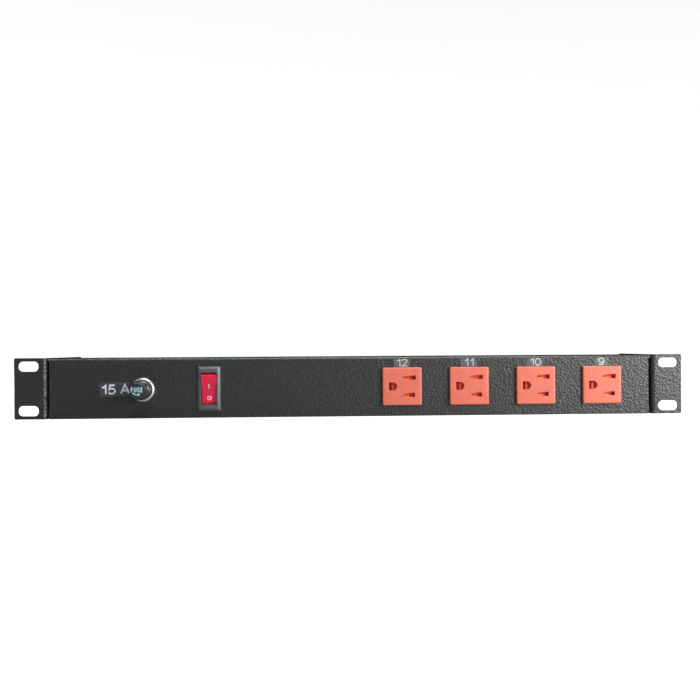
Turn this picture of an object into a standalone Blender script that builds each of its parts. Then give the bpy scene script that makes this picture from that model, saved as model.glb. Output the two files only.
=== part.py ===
"""Rack power strip, 19 inch and one rack unit high, with outlets on its front and rear faces.

World frame: +X to the right seen from the front, +Y to the rear, +Z up. The origin is the centre
of the housing's underside. Dimensions are in millimetres and the helpers turn them into metres.

Everything that sits in a face is modelled in a face frame: x to the right seen from outside,
y up, z outwards, with z = 0 on the sheet's outer surface.
"""

import math

import bmesh
import bpy
from mathutils import Matrix, Vector

MM = 0.001

# Driving dimensions of the housing
BODY_WIDTH = 437.0
BODY_HEIGHT = 43.0
BODY_DEPTH = 76.0
SHEET = 1.2
SHEET_BEND = 1.8
BEND_STEPS = 4
GAP = 0.3

HALF_WIDTH = BODY_WIDTH / 2
HALF_DEPTH = BODY_DEPTH / 2

# Ear brackets, to the 19 inch rack standard
RACK_WIDTH = 482.6
EAR_HEIGHT = 43.7
EAR_SHEET = 1.5
EAR_BEND = 3.0
EAR_SLOT_X = 231.3
EAR_SLOT_PITCH = 31.75
EAR_SLOT_LENGTH = 14.2
EAR_SLOT_HEIGHT = 7.2

# Tabs that the end screws go into
TAB_INNER_X = 216.8
TAB_OUTER_X = 218.0
TAB_HALF_DEPTH = 30.0
CHANNEL_TAB_LOW_Z = 27.0
COVER_TAB_HIGH_Z = 15.0
COVER_LIP_HIGH_Z = 5.8
UPPER_SCREW = (-16.0, 34.0)
LOWER_SCREW = (16.0, 9.0)
SCREW_HOLE_RADIUS = 1.75
SCREW_LENGTH = 6.0

# Outlets: pitch, height of the centre line, and X of the first outlet of each row
OUTLET_PITCH = 49.0
OUTLET_Z = 21.5
OUTLET_FIRST_X = 182.0
REAR_OUTLETS = 8
FRONT_OUTLETS = 4
OUTLET_FLANGE_HALF_X, OUTLET_FLANGE_HALF_Y = 14.2, 13.7
OUTLET_BODY_HALF_X, OUTLET_BODY_HALF_Y = 12.8, 12.4
OUTLET_CUTOUT_GAP = 0.3
OUTLET_PROUD = 1.8
OUTLET_DEPTH = 20.0
OUTLET_WALL = 1.6
OUTLET_FRONT_THICKNESS = 4.0

# The outlet's holes: the pattern of a 15 A three-pin outlet, lying on its side
BLADE_X = 5.3
BLADE_Y = 6.35
BLADE_SLOT_HEIGHT = 2.4
NEUTRAL_SLOT_LENGTH = 9.0
LINE_SLOT_LENGTH = 7.6
GROUND_HOLE_X = -6.7
GROUND_HOLE_RADIUS = 2.9
GROUND_FLAT_X = -9.7

# Bus bars: one flat brass comb for each pole
BAR_THICKNESS = 0.8
BAR_FRONT_Y = 6.0
BAR_REAR_Y = 12.0
BAR_TIP_DEPTH = 5.0
BLADE_BAR_OFFSET = 7.6
BLADE_CONTACT_WIDTH = 5.0
GROUND_CONTACT_X = -6.6
GROUND_CONTACT_WIDTH = 7.0
GROUND_NOTCH_WIDTH = 4.8
GROUND_NOTCH_DEPTH = 8.0

# Fuse holder, switch and gland
FUSE_X, FUSE_Z = -151.2, 20.5
FUSE_HOLE_RADIUS = 6.4
FUSE_THREAD_RADIUS = 6.1
FUSE_BORE_RADIUS = 4.8
FUSE_RADIUS = 3.2
FUSE_FRONT_Z = 11.5
FUSE_LENGTH = 31.8
SWITCH_X, SWITCH_Z = -104.1, 21.0
BEZEL_HALF_X, BEZEL_HALF_Y = 8.2, 15.9
SWITCH_BODY_HALF_X, SWITCH_BODY_HALF_Y = 6.6, 14.0
ROCKER_WIDTH = 10.9
ROCKER_PIVOT_Z = -2.5
ROCKER_REST_DEG = 12.0
LEVER_PIVOT_Z = -12.2
LEVER_REST_DEG = 6.0
TERMINAL_Y = 8.0
GLAND_X, GLAND_Z = -200.0, 20.5
GLAND_HOLE_RADIUS = 9.6

# Terminal block and wires
BLOCK_LOW = (-200.0, -26.0, 1.5)
BLOCK_HIGH = (-184.0, -2.0, 15.0)
BLOCK_POLES_Y = (-22.0, -14.0, -6.0)
BLOCK_WIRE_Z = 9.0
WIRE_RADIUS = 1.1
GROUND_SCREW_X, GROUND_SCREW_Y = -178.5, 9.0

for leftover in list(bpy.data.objects):
    bpy.data.objects.remove(leftover, do_unlink=True)

PARTS = bpy.data.collections.new("rack_power_strip")
HELPERS = bpy.data.collections.new("helpers")
bpy.context.scene.collection.children.link(PARTS)
bpy.context.scene.collection.children.link(HELPERS)


# ---------------------------------------------------------------- materials

def material(name, colour, roughness, metallic=0.0):
    mat = bpy.data.materials.new(name)
    mat.use_nodes = True
    shader = mat.node_tree.nodes["Principled BSDF"]
    shader.inputs["Base Color"].default_value = (*colour, 1.0)
    shader.inputs["Roughness"].default_value = roughness
    shader.inputs["Metallic"].default_value = metallic
    return mat


POWDER_COAT = material("black_powder_coat", (0.022, 0.026, 0.026), 0.45)
OUTLET_ORANGE = material("outlet_orange", (0.75, 0.10, 0.06), 0.45)
BLACK_PLASTIC = material("black_plastic", (0.015, 0.015, 0.016), 0.4)
RED_LENS = material("red_lens", (0.60, 0.02, 0.06), 0.2)
GREY_PLASTIC = material("grey_plastic", (0.35, 0.37, 0.38), 0.5)
BLACK_RUBBER = material("black_rubber", (0.01, 0.01, 0.01), 0.8)
NICKEL = material("nickel", (0.70, 0.70, 0.68), 0.25, 1.0)
ZINC_STEEL = material("zinc_steel", (0.55, 0.56, 0.58), 0.35, 1.0)
BRASS = material("brass", (0.78, 0.57, 0.25), 0.3, 1.0)
CLEAR_GLASS = material("clear_glass", (0.80, 0.85, 0.85), 0.05)
LAMP_GLASS = material("lamp_glass", (0.90, 0.55, 0.30), 0.1)
WHITE_NYLON = material("white_nylon", (0.80, 0.80, 0.76), 0.5)
WIRE_BLACK = material("wire_black", (0.02, 0.02, 0.02), 0.5)
WIRE_WHITE = material("wire_white", (0.80, 0.80, 0.78), 0.5)


# ---------------------------------------------------------------- shape helpers

def mesh_object(name, bm):
    """An object in the helpers collection, made from a bmesh in millimetres."""
    bmesh.ops.scale(bm, vec=Vector((MM, MM, MM)), verts=bm.verts)
    mesh = bpy.data.meshes.new(name)
    bm.to_mesh(mesh)
    bm.free()
    obj = bpy.data.objects.new(name, mesh)
    HELPERS.objects.link(obj)
    return obj


def bake(obj):
    """Replace an object's mesh by its evaluated one, with every face pointing out."""
    graph = bpy.context.evaluated_depsgraph_get()
    graph.update()
    mesh = bpy.data.meshes.new_from_object(obj.evaluated_get(graph))
    bm = bmesh.new()
    bm.from_mesh(mesh)
    bmesh.ops.remove_doubles(bm, verts=bm.verts, dist=0.002 * MM)
    bmesh.ops.recalc_face_normals(bm, faces=bm.faces)
    bm.to_mesh(mesh)
    bm.free()
    if obj.type == "MESH":
        obj.modifiers.clear()
        obj.data = mesh
        return obj
    made = bpy.data.objects.new(obj.name, mesh)
    made.matrix_world = obj.matrix_world
    HELPERS.objects.link(made)
    bpy.data.objects.remove(obj, do_unlink=True)
    return made


def combine(obj, tools, operation):
    """Join the tools to an object or cut them from it, one Boolean each, and drop the tools."""
    for tool in tools:
        tool.hide_render = True
        tool.display_type = "WIRE"
        modifier = obj.modifiers.new(operation.lower(), "BOOLEAN")
        modifier.operation = operation
        modifier.object = tool
        modifier.solver = "EXACT"
        bake(obj)
        bpy.data.objects.remove(tool, do_unlink=True)
    return obj


def join(obj, *tools):
    return combine(obj, tools, "UNION")


def cut(obj, *tools):
    return combine(obj, tools, "DIFFERENCE")


def box(low, high, name="box"):
    bm = bmesh.new()
    bmesh.ops.create_cube(bm, size=1.0)
    size = Vector(high) - Vector(low)
    middle = (Vector(high) + Vector(low)) / 2
    place = Matrix.Translation(middle) @ Matrix.Diagonal((*size, 1.0))
    bmesh.ops.transform(bm, matrix=place, verts=bm.verts)
    return mesh_object(name, bm)


def prism(radius, low_z, high_z, sides, name="prism", turn_deg=0.0, centre=(0.0, 0.0)):
    """A closed prism on the z axis. Its first corner is turned from +x by turn_deg."""
    bm = bmesh.new()
    bmesh.ops.create_cone(bm, cap_ends=True, segments=sides, radius1=radius, radius2=radius,
                          depth=high_z - low_z)
    place = Matrix.Translation((*centre, (low_z + high_z) / 2))
    place = place @ Matrix.Rotation(math.radians(turn_deg), 4, "Z")
    bmesh.ops.transform(bm, matrix=place, verts=bm.verts)
    return mesh_object(name, bm)


def hexagon(across_flats, low_z, high_z, name="hexagon", turn_deg=0.0):
    return prism(across_flats / 2 / math.cos(math.pi / 6), low_z, high_z, 6, name, turn_deg)


def turned(name, profile, steps=24, closed=False):
    """A turned shape: (radius, z) points that run down the outer side, turned about the z axis."""
    bm = bmesh.new()
    verts = [bm.verts.new((radius, 0.0, z)) for radius, z in profile]
    for first, second in zip(verts, verts[1:]):
        bm.edges.new((first, second))
    if closed:
        bm.edges.new((verts[-1], verts[0]))
    obj = mesh_object(name, bm)
    screw = obj.modifiers.new("turn", "SCREW")
    screw.steps = steps
    screw.render_steps = steps
    screw.use_merge_vertices = True
    screw.merge_threshold = 0.00001
    return bake(obj)


def close_flat_sides(obj):
    """Fill the two flat sides of an extruded outline."""
    bm = bmesh.new()
    bm.from_mesh(obj.data)
    sides = bmesh.ops.holes_fill(bm, edges=bm.edges)["faces"]
    bmesh.ops.triangulate(bm, faces=sides)
    bmesh.ops.recalc_face_normals(bm, faces=bm.faces)
    bm.to_mesh(obj.data)
    bm.free()


def plate(name, outline, thickness, to_frame=None):
    """A flat outline, extruded about its own plane, then carried by to_frame."""
    curve = bpy.data.curves.new(name, "CURVE")
    curve.dimensions = "2D"
    curve.fill_mode = "NONE"
    curve.extrude = thickness / 2 * MM
    spline = curve.splines.new("POLY")
    spline.points.add(len(outline) - 1)
    spline.use_cyclic_u = True
    for point, (a, b) in zip(spline.points, outline):
        point.co = (a * MM, b * MM, 0.0, 1.0)
    flat = bpy.data.objects.new(name, curve)
    HELPERS.objects.link(flat)
    obj = bake(flat)
    close_flat_sides(obj)
    if to_frame is not None:
        shift = to_frame.copy()
        shift.translation = shift.translation * MM
        obj.data.transform(shift)
    return obj


def rod(name, path, radius, resolution=1):
    """A round rod through the path's points, with closed ends."""
    curve = bpy.data.curves.new(name, "CURVE")
    curve.dimensions = "3D"
    curve.bevel_depth = radius * MM
    curve.bevel_resolution = resolution
    curve.use_fill_caps = True
    spline = curve.splines.new("POLY")
    spline.points.add(len(path) - 1)
    for point, place in zip(spline.points, path):
        point.co = (*(place * MM), 1.0)
    line = bpy.data.objects.new(name, curve)
    HELPERS.objects.link(line)
    return bake(line)


def wire(name, points):
    """A wire through the points, with eased corners."""
    return rod(name, eased(points), WIRE_RADIUS)


def eased(points):
    """Each inner corner becomes three points, on a curve that leaves the corner out."""
    places = [Vector(point) for point in points]
    path = [places[0]]
    for before, corner, after in zip(places, places[1:], places[2:]):
        start = corner + (before - corner) * 0.3
        end = corner + (after - corner) * 0.3
        path += [start, (start + corner * 2 + end) / 4, end]
    path.append(places[-1])
    return path


def arc(centre, radius, start_deg, end_deg, steps):
    """Points on an arc, both ends included."""
    points = []
    for step in range(steps + 1):
        angle = math.radians(start_deg + (end_deg - start_deg) * step / steps)
        points.append((centre[0] + radius * math.cos(angle), centre[1] + radius * math.sin(angle)))
    return points


def folded_sheet(name, profile, along, low, high, thickness):
    """Sheet metal: an open profile swept along 'x' or 'z', made thick on its inner side."""
    bm = bmesh.new()
    rows = []
    for first, second in profile:
        if along == "x":
            ends = [(low, first, second), (high, first, second)]
        else:
            ends = [(first, second, low), (first, second, high)]
        rows.append([bm.verts.new(end) for end in ends])
    for (a, b), (c, d) in zip(rows, rows[1:]):
        bm.faces.new((a, b, d, c))
    obj = mesh_object(name, bm)
    solid = obj.modifiers.new("sheet", "SOLIDIFY")
    solid.thickness = thickness * MM
    solid.offset = -1.0
    solid.use_even_offset = True
    return bake(obj)


def finish(obj, name, mat, smooth=False):
    """Name a finished piece, give it its material and move it to the parts collection."""
    obj.name = name
    obj.data.name = name
    obj.data.materials.clear()
    obj.data.materials.append(mat)
    if smooth:
        obj.data.shade_smooth()
        obj.data.set_sharp_from_angle(angle=math.radians(35))
    HELPERS.objects.unlink(obj)
    PARTS.objects.link(obj)
    return obj


def face_frame(face, x, z, out=0.0):
    """The world matrix of a face frame whose origin lies at X, Z on the front or rear face."""
    if face == "front":
        turn = Matrix.Rotation(math.pi / 2, 4, "X")
        origin = Vector((x, -HALF_DEPTH - out, z))
    else:
        turn = Matrix.Rotation(math.pi, 4, "Z") @ Matrix.Rotation(math.pi / 2, 4, "X")
        origin = Vector((x, HALF_DEPTH + out, z))
    return Matrix.Translation(origin * MM) @ turn


def rear_outlet_x():
    return [OUTLET_FIRST_X - OUTLET_PITCH * place for place in reversed(range(REAR_OUTLETS))]


def front_outlet_x():
    return [OUTLET_FIRST_X - OUTLET_PITCH * place for place in range(FRONT_OUTLETS)]


# ---------------------------------------------------------------- housing

def panel_cutters():
    """Everything that the front and rear walls are cut by, in the world frame."""
    cutters = []
    half_x, half_y = OUTLET_BODY_HALF_X + OUTLET_CUTOUT_GAP, OUTLET_BODY_HALF_Y + OUTLET_CUTOUT_GAP
    reach = SHEET * 2
    for face, places in (("front", front_outlet_x()), ("rear", rear_outlet_x())):
        for x in places:
            cutter = box((-half_x, -half_y, -reach), (half_x, half_y, reach))
            cutter.matrix_world = face_frame(face, x, OUTLET_Z)
            cutters.append(cutter)
    fuse_hole = prism(FUSE_HOLE_RADIUS, -reach, reach, 32)
    fuse_hole.matrix_world = face_frame("front", FUSE_X, FUSE_Z)
    switch_hole = box((-SWITCH_BODY_HALF_X - GAP, -SWITCH_BODY_HALF_Y - GAP, -reach),
                      (SWITCH_BODY_HALF_X + GAP, SWITCH_BODY_HALF_Y + GAP, reach))
    switch_hole.matrix_world = face_frame("front", SWITCH_X, SWITCH_Z)
    gland_hole = prism(GLAND_HOLE_RADIUS, -reach, reach, 32)
    gland_hole.matrix_world = face_frame("rear", GLAND_X, GLAND_Z)
    return cutters + [fuse_hole, switch_hole, gland_hole]


def end_screw_hole(side, place):
    """A hole along X through everything that an end screw passes."""
    hole = prism(SCREW_HOLE_RADIUS, -8.0, 6.0, 12)
    hole.matrix_world = end_frame(side, place, HALF_WIDTH)
    return hole


def end_frame(side, place, x):
    """A frame on the end of the housing whose z axis points outwards along X."""
    turn = Matrix.Rotation(math.radians(90 * side), 4, "Y")
    return Matrix.Translation(Vector((side * x, *place)) * MM) @ turn


def end_tab(side, low_z, high_z):
    inner, outer = sorted((side * TAB_INNER_X, side * TAB_OUTER_X))
    return box((inner, -TAB_HALF_DEPTH, low_z), (outer, TAB_HALF_DEPTH, high_z))


def housing_channel():
    top = BODY_HEIGHT - SHEET_BEND
    front = HALF_DEPTH - SHEET_BEND
    profile = [(-HALF_DEPTH, 0.0)]
    profile += arc((-front, top), SHEET_BEND, 180, 90, BEND_STEPS)
    profile += arc((front, top), SHEET_BEND, 90, 0, BEND_STEPS)
    profile.append((HALF_DEPTH, 0.0))
    channel = folded_sheet("channel", profile, "x", -HALF_WIDTH, HALF_WIDTH, SHEET)
    inside_top = BODY_HEIGHT - SHEET / 2
    join(channel, end_tab(-1, CHANNEL_TAB_LOW_Z, inside_top), end_tab(1, CHANNEL_TAB_LOW_Z, inside_top))
    cut(channel, *panel_cutters())
    for side in (-1, 1):
        cut(channel, end_screw_hole(side, UPPER_SCREW))
    finish(channel, "housing_channel", POWDER_COAT)


def bottom_cover():
    lip_y = HALF_DEPTH - SHEET - GAP
    flat = lip_y - SHEET_BEND
    profile = [(lip_y, COVER_LIP_HIGH_Z)]
    profile += arc((flat, SHEET_BEND), SHEET_BEND, 0, -90, BEND_STEPS)
    profile += arc((-flat, SHEET_BEND), SHEET_BEND, -90, -180, BEND_STEPS)
    profile.append((-lip_y, COVER_LIP_HIGH_Z))
    cover = folded_sheet("cover", profile, "x", -HALF_WIDTH + GAP, HALF_WIDTH - GAP, SHEET)
    join(cover, end_tab(-1, SHEET / 2, COVER_TAB_HIGH_Z), end_tab(1, SHEET / 2, COVER_TAB_HIGH_Z))
    for side in (-1, 1):
        cut(cover, end_screw_hole(side, LOWER_SCREW))
    ground_hole = prism(SCREW_HOLE_RADIUS, -2.0, 4.0, 12, centre=(GROUND_SCREW_X, GROUND_SCREW_Y))
    cut(cover, ground_hole)
    finish(cover, "bottom_cover", POWDER_COAT)


def slot_cutter(x, z):
    """A round-ended slot through an ear, along X."""
    radius = EAR_SLOT_HEIGHT / 2
    reach = EAR_SLOT_LENGTH / 2 - radius
    outline = arc((x + reach, z), radius, -90, 90, 8) + arc((x - reach, z), radius, 90, 270, 8)
    upright = Matrix.Translation((0.0, -HALF_DEPTH, 0.0)) @ Matrix.Rotation(math.pi / 2, 4, "X")
    return plate("slot", outline, 8.0, upright)


def ear_bracket(side):
    """A folded L: its long leg closes the housing's end and its short leg is the rack ear."""
    end_x = HALF_WIDTH + GAP
    front_y = -HALF_DEPTH - EAR_SHEET
    bend = arc((end_x + EAR_BEND, front_y + EAR_BEND), EAR_BEND, 180, 270, 6)
    profile = [(end_x, HALF_DEPTH - 0.5)] + bend + [(RACK_WIDTH / 2, front_y)]
    profile = [(side * x, y) for x, y in profile]
    if side > 0:
        profile.reverse()
    bracket = folded_sheet("bracket", profile, "z", 0.0, EAR_HEIGHT, EAR_SHEET)
    middle = EAR_HEIGHT / 2
    cut(bracket, slot_cutter(side * EAR_SLOT_X, middle - EAR_SLOT_PITCH / 2))
    cut(bracket, slot_cutter(side * EAR_SLOT_X, middle + EAR_SLOT_PITCH / 2))
    for place in (UPPER_SCREW, LOWER_SCREW):
        cut(bracket, end_screw_hole(side, place))
    finish(bracket, "ear_bracket_right" if side > 0 else "ear_bracket_left", POWDER_COAT)


def pan_head_screw(name, frame, shank_length, head_radius=2.8, shank_radius=1.4):
    """A pan-head screw whose head rests just above z = 0 of its frame."""
    profile = [(0.0, GAP + 1.9), (head_radius * 0.55, GAP + 1.75), (head_radius * 0.9, GAP + 1.1),
               (head_radius, GAP + 0.4), (head_radius, GAP), (shank_radius, GAP),
               (shank_radius, -shank_length), (0.0, -shank_length)]
    screw = turned("screw", profile, 16)
    floor = GAP + 1.2
    cut(screw, box((-0.35, -1.7, floor), (0.35, 1.7, 4.0)), box((-1.7, -0.35, floor), (1.7, 0.35, 4.0)))
    screw.matrix_world = frame
    finish(screw, name, ZINC_STEEL, smooth=True)


# ---------------------------------------------------------------- outlets

def outlet_mesh():
    """The outlet's front housing: flange, box open at the back, snap wings, three holes."""
    flange_x, flange_y = OUTLET_FLANGE_HALF_X, OUTLET_FLANGE_HALF_Y
    body_x, body_y = OUTLET_BODY_HALF_X, OUTLET_BODY_HALF_Y
    inside_x, inside_y = body_x - OUTLET_WALL, body_y - OUTLET_WALL
    housing = box((-flange_x, -flange_y, GAP), (flange_x, flange_y, OUTLET_PROUD))
    join(housing, box((-body_x, -body_y, -OUTLET_DEPTH), (body_x, body_y, OUTLET_PROUD / 2)))
    wing = [(body_y - 0.4, -SHEET - GAP), (body_y + 1.1, -SHEET - GAP), (body_y - 0.4, -SHEET - 6.0)]
    across = Matrix.Rotation(math.pi / 2, 4, "Y") @ Matrix.Rotation(math.pi / 2, 4, "Z")
    for side in (1, -1):
        outline = [(side * y, z) for y, z in wing]
        join(housing, plate("wing", outline, 8.0, across))
    cut(housing, box((-inside_x, -inside_y, -OUTLET_DEPTH - 1.0),
                     (inside_x, inside_y, OUTLET_PROUD - OUTLET_FRONT_THICKNESS)))
    round_side = arc((GROUND_HOLE_X, 0.0), GROUND_HOLE_RADIUS, -90, 90, 8)
    ground = [(GROUND_FLAT_X, GROUND_HOLE_RADIUS), (GROUND_FLAT_X, -GROUND_HOLE_RADIUS)] + round_side
    reach = 6.0
    cut(housing, plate("ground", ground, reach * 2))
    half_height = BLADE_SLOT_HEIGHT / 2
    for y, length in ((BLADE_Y, NEUTRAL_SLOT_LENGTH), (-BLADE_Y, LINE_SLOT_LENGTH)):
        low = (BLADE_X - length / 2, y - half_height, -reach)
        high = (BLADE_X + length / 2, y + half_height, reach)
        cut(housing, box(low, high))
    return housing


def outlet_back_mesh():
    """The stepped lid behind an outlet, with a slot for each bus bar's contact."""
    body_x, body_y = OUTLET_BODY_HALF_X, OUTLET_BODY_HALF_Y
    step_x, step_y = body_x - OUTLET_WALL - GAP, body_y - OUTLET_WALL - GAP
    top = -OUTLET_DEPTH - GAP
    lid = box((-body_x, -body_y, top - 2.0), (body_x, body_y, top))
    join(lid, box((-step_x, -step_y, top - 0.5), (step_x, step_y, top + 1.8)))
    half_blade = BLADE_CONTACT_WIDTH / 2 + GAP
    half_ground = GROUND_CONTACT_WIDTH / 2 + GAP
    half_height = BAR_THICKNESS / 2 + GAP
    for x, y, half in ((BLADE_X, BLADE_BAR_OFFSET, half_blade), (BLADE_X, -BLADE_BAR_OFFSET, half_blade),
                       (GROUND_CONTACT_X, 0.0, half_ground)):
        cut(lid, box((x - half, y - half_height, top - 4.0), (x + half, y + half_height, top + 4.0)))
    return lid


def outlets():
    """Outlets 1 to 8 on the rear face and 9 to 12 on the front, sharing one mesh for each piece."""
    housing = outlet_mesh()
    lid = outlet_back_mesh()
    housing.data.materials.append(OUTLET_ORANGE)
    lid.data.materials.append(OUTLET_ORANGE)
    places = [("rear", x) for x in rear_outlet_x()] + [("front", x) for x in front_outlet_x()]
    for number, (face, x) in enumerate(places, start=1):
        for name, source in (("outlet", housing), ("outlet_back", lid)):
            piece = bpy.data.objects.new(f"{name}_{number}", source.data)
            piece.matrix_world = face_frame(face, x, OUTLET_Z)
            PARTS.objects.link(piece)
    bpy.data.objects.remove(housing, do_unlink=True)
    bpy.data.objects.remove(lid, do_unlink=True)


# ---------------------------------------------------------------- bus bars

def comb_outline(local_x, width, notch=None):
    """A spine with a contact towards every outlet. Seen from above, front contacts point down."""
    tip = HALF_DEPTH - BAR_TIP_DEPTH
    front = sorted(x + local_x for x in front_outlet_x())
    rear = sorted(x - local_x for x in rear_outlet_x())
    left = min(front + rear) - width / 2 - 1.0
    right = max(front + rear) + width / 2 + 1.0
    outline = [(left, BAR_FRONT_Y)]
    for x in front:
        outline += contact_points(x, BAR_FRONT_Y, -tip, width, notch)
    outline += [(right, BAR_FRONT_Y), (right, BAR_REAR_Y)]
    for x in reversed(rear):
        outline += contact_points(x, BAR_REAR_Y, tip, -width, notch)
    outline.append((left, BAR_REAR_Y))
    return outline, left


def contact_points(x, root_y, tip_y, width, notch):
    """One contact: a plain tongue, or a fork where a notch is given."""
    near, far = x - width / 2, x + width / 2
    if notch is None:
        return [(near, root_y), (near, tip_y), (far, tip_y), (far, root_y)]
    half = math.copysign(notch / 2, width)
    floor = tip_y - math.copysign(GROUND_NOTCH_DEPTH, tip_y)
    return [(near, root_y), (near, tip_y), (x - half, tip_y), (x - half, floor),
            (x + half, floor), (x + half, tip_y), (far, tip_y), (far, root_y)]


def at_height(z):
    return Matrix.Translation((0.0, 0.0, z))


def bus_bars():
    middle_y = (BAR_FRONT_Y + BAR_REAR_Y) / 2

    line_z = OUTLET_Z - BLADE_BAR_OFFSET
    outline, left = comb_outline(BLADE_X, BLADE_CONTACT_WIDTH)
    finish(plate("line", outline, BAR_THICKNESS, at_height(line_z)), "line_bus_bar", BRASS)

    neutral_z = OUTLET_Z + BLADE_BAR_OFFSET
    neutral = plate("neutral", outline, BAR_THICKNESS, at_height(neutral_z))
    block_x = BLOCK_HIGH[0] - 2.0
    lead = wire("lead", [(left + 4.0, middle_y, neutral_z), (left - 6.0, middle_y - 1.0, neutral_z),
                         (-180.0, 0.0, 19.0), (-180.0, BLOCK_POLES_Y[2], BLOCK_WIRE_Z),
                         (block_x, BLOCK_POLES_Y[2], BLOCK_WIRE_Z)])
    finish(join(neutral, lead), "neutral_bus_bar", BRASS)

    outline, left = comb_outline(GROUND_CONTACT_X, GROUND_CONTACT_WIDTH, GROUND_NOTCH_WIDTH)
    ground = plate("ground", outline, BAR_THICKNESS, at_height(OUTLET_Z))
    strap_x = -175.0
    top = OUTLET_Z + BAR_THICKNESS / 4
    join(ground, box((strap_x, BAR_FRONT_Y + 0.5, OUTLET_Z - 0.3), (left + 2.0, BAR_REAR_Y - 0.5, top)))
    join(ground, box((strap_x - 0.5, BAR_FRONT_Y + 0.7, 1.6), (strap_x + 0.5, BAR_REAR_Y - 0.7, top - 0.1)))
    foot = box((GROUND_SCREW_X - 3.6, BAR_FRONT_Y + 0.3, 1.5), (strap_x + 0.3, BAR_REAR_Y - 0.3, 2.3))
    cut(foot, prism(SCREW_HOLE_RADIUS, 0.0, 4.0, 12, centre=(GROUND_SCREW_X, GROUND_SCREW_Y)))
    join(ground, foot)
    lead = wire("lead", [(left + 3.0, BAR_FRONT_Y + 1.6, OUTLET_Z),
                         (-174.0, BAR_FRONT_Y - 4.0, OUTLET_Z - 1.0),
                         (-175.0, -8.0, 13.0), (-178.0, BLOCK_POLES_Y[1], BLOCK_WIRE_Z),
                         (block_x, BLOCK_POLES_Y[1], BLOCK_WIRE_Z)])
    finish(join(ground, lead), "ground_bus_bar", BRASS)


# ---------------------------------------------------------------- fuse

def fuse():
    at_fuse = face_frame("front", FUSE_X, FUSE_Z)
    rear_z = FUSE_FRONT_Z - FUSE_LENGTH

    holder = turned("holder", [(0.0, -31.0), (FUSE_BORE_RADIUS, -31.0), (FUSE_BORE_RADIUS, 3.5),
                               (FUSE_THREAD_RADIUS, 3.5), (FUSE_THREAD_RADIUS, -1.5), (8.0, -1.5),
                               (8.0, -3.5), (FUSE_THREAD_RADIUS, -3.5), (FUSE_THREAD_RADIUS, -33.0),
                               (0.0, -33.0)])
    join(holder, box((-0.4, -2.5, -38.0), (0.4, 2.5, -32.0)), box((5.4, -0.4, -17.0), (10.5, 0.4, -13.0)))
    holder.matrix_world = at_fuse
    finish(holder, "fuse_holder", BLACK_PLASTIC, smooth=True)

    ring = turned("ring", [(FUSE_HOLE_RADIUS, 2.6), (8.1, 2.6), (8.7, 2.0), (8.7, GAP),
                           (FUSE_HOLE_RADIUS, GAP)], 32, closed=True)
    ring.matrix_world = at_fuse
    finish(ring, "fuse_ring_nut", NICKEL, smooth=True)

    sleeve = FUSE_BORE_RADIUS - GAP
    cap = turned("cap", [(0.0, 16.6), (5.0, 16.6), (5.6, 16.0), (6.1, 9.0), (7.0, 8.2), (7.0, 3.9),
                         (sleeve, 3.9), (sleeve, -3.0), (3.6, -3.0), (3.6, 12.0), (0.0, 12.0)])
    cap.matrix_world = at_fuse
    finish(cap, "fuse_cap", BLACK_PLASTIC, smooth=True)

    glass = turned("glass", [(2.1, FUSE_FRONT_Z - 0.6), (2.6, FUSE_FRONT_Z - 0.6), (2.6, rear_z + 0.6),
                             (2.1, rear_z + 0.6)], 16, closed=True)
    glass.matrix_world = at_fuse
    finish(glass, "fuse_glass", CLEAR_GLASS, smooth=True)

    end_caps = (("fuse_end_cap_front", FUSE_FRONT_Z, -1.0), ("fuse_end_cap_rear", rear_z, 1.0))
    for name, end, inward in end_caps:
        lip = end + 6.0 * inward
        floor = end + 0.3 * inward
        cup = turned(name, [(0.0, end), (FUSE_RADIUS, end), (FUSE_RADIUS, lip), (2.9, lip), (2.9, floor),
                            (0.0, floor)], 16)
        cup.matrix_world = at_fuse
        finish(cup, name, NICKEL, smooth=True)

    turns, steps = 4, 10
    top, bottom = rear_z - 0.7, -30.2
    coil = []
    for step in range(turns * steps + 1):
        angle = 2 * math.pi * step / steps
        z = top + (bottom - top) * step / (turns * steps)
        coil.append(Vector((2.6 * math.cos(angle), 2.6 * math.sin(angle), z)))
    spring = rod("fuse_spring", coil, 0.4, resolution=0)
    spring.matrix_world = at_fuse
    finish(spring, "fuse_spring", ZINC_STEEL, smooth=True)


# ---------------------------------------------------------------- switch

def in_side_plane():
    """Carries an outline of (y, z) points into the face frame's plane across x."""
    return Matrix.Rotation(math.pi / 2, 4, "Y") @ Matrix.Rotation(math.pi / 2, 4, "Z")


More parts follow.
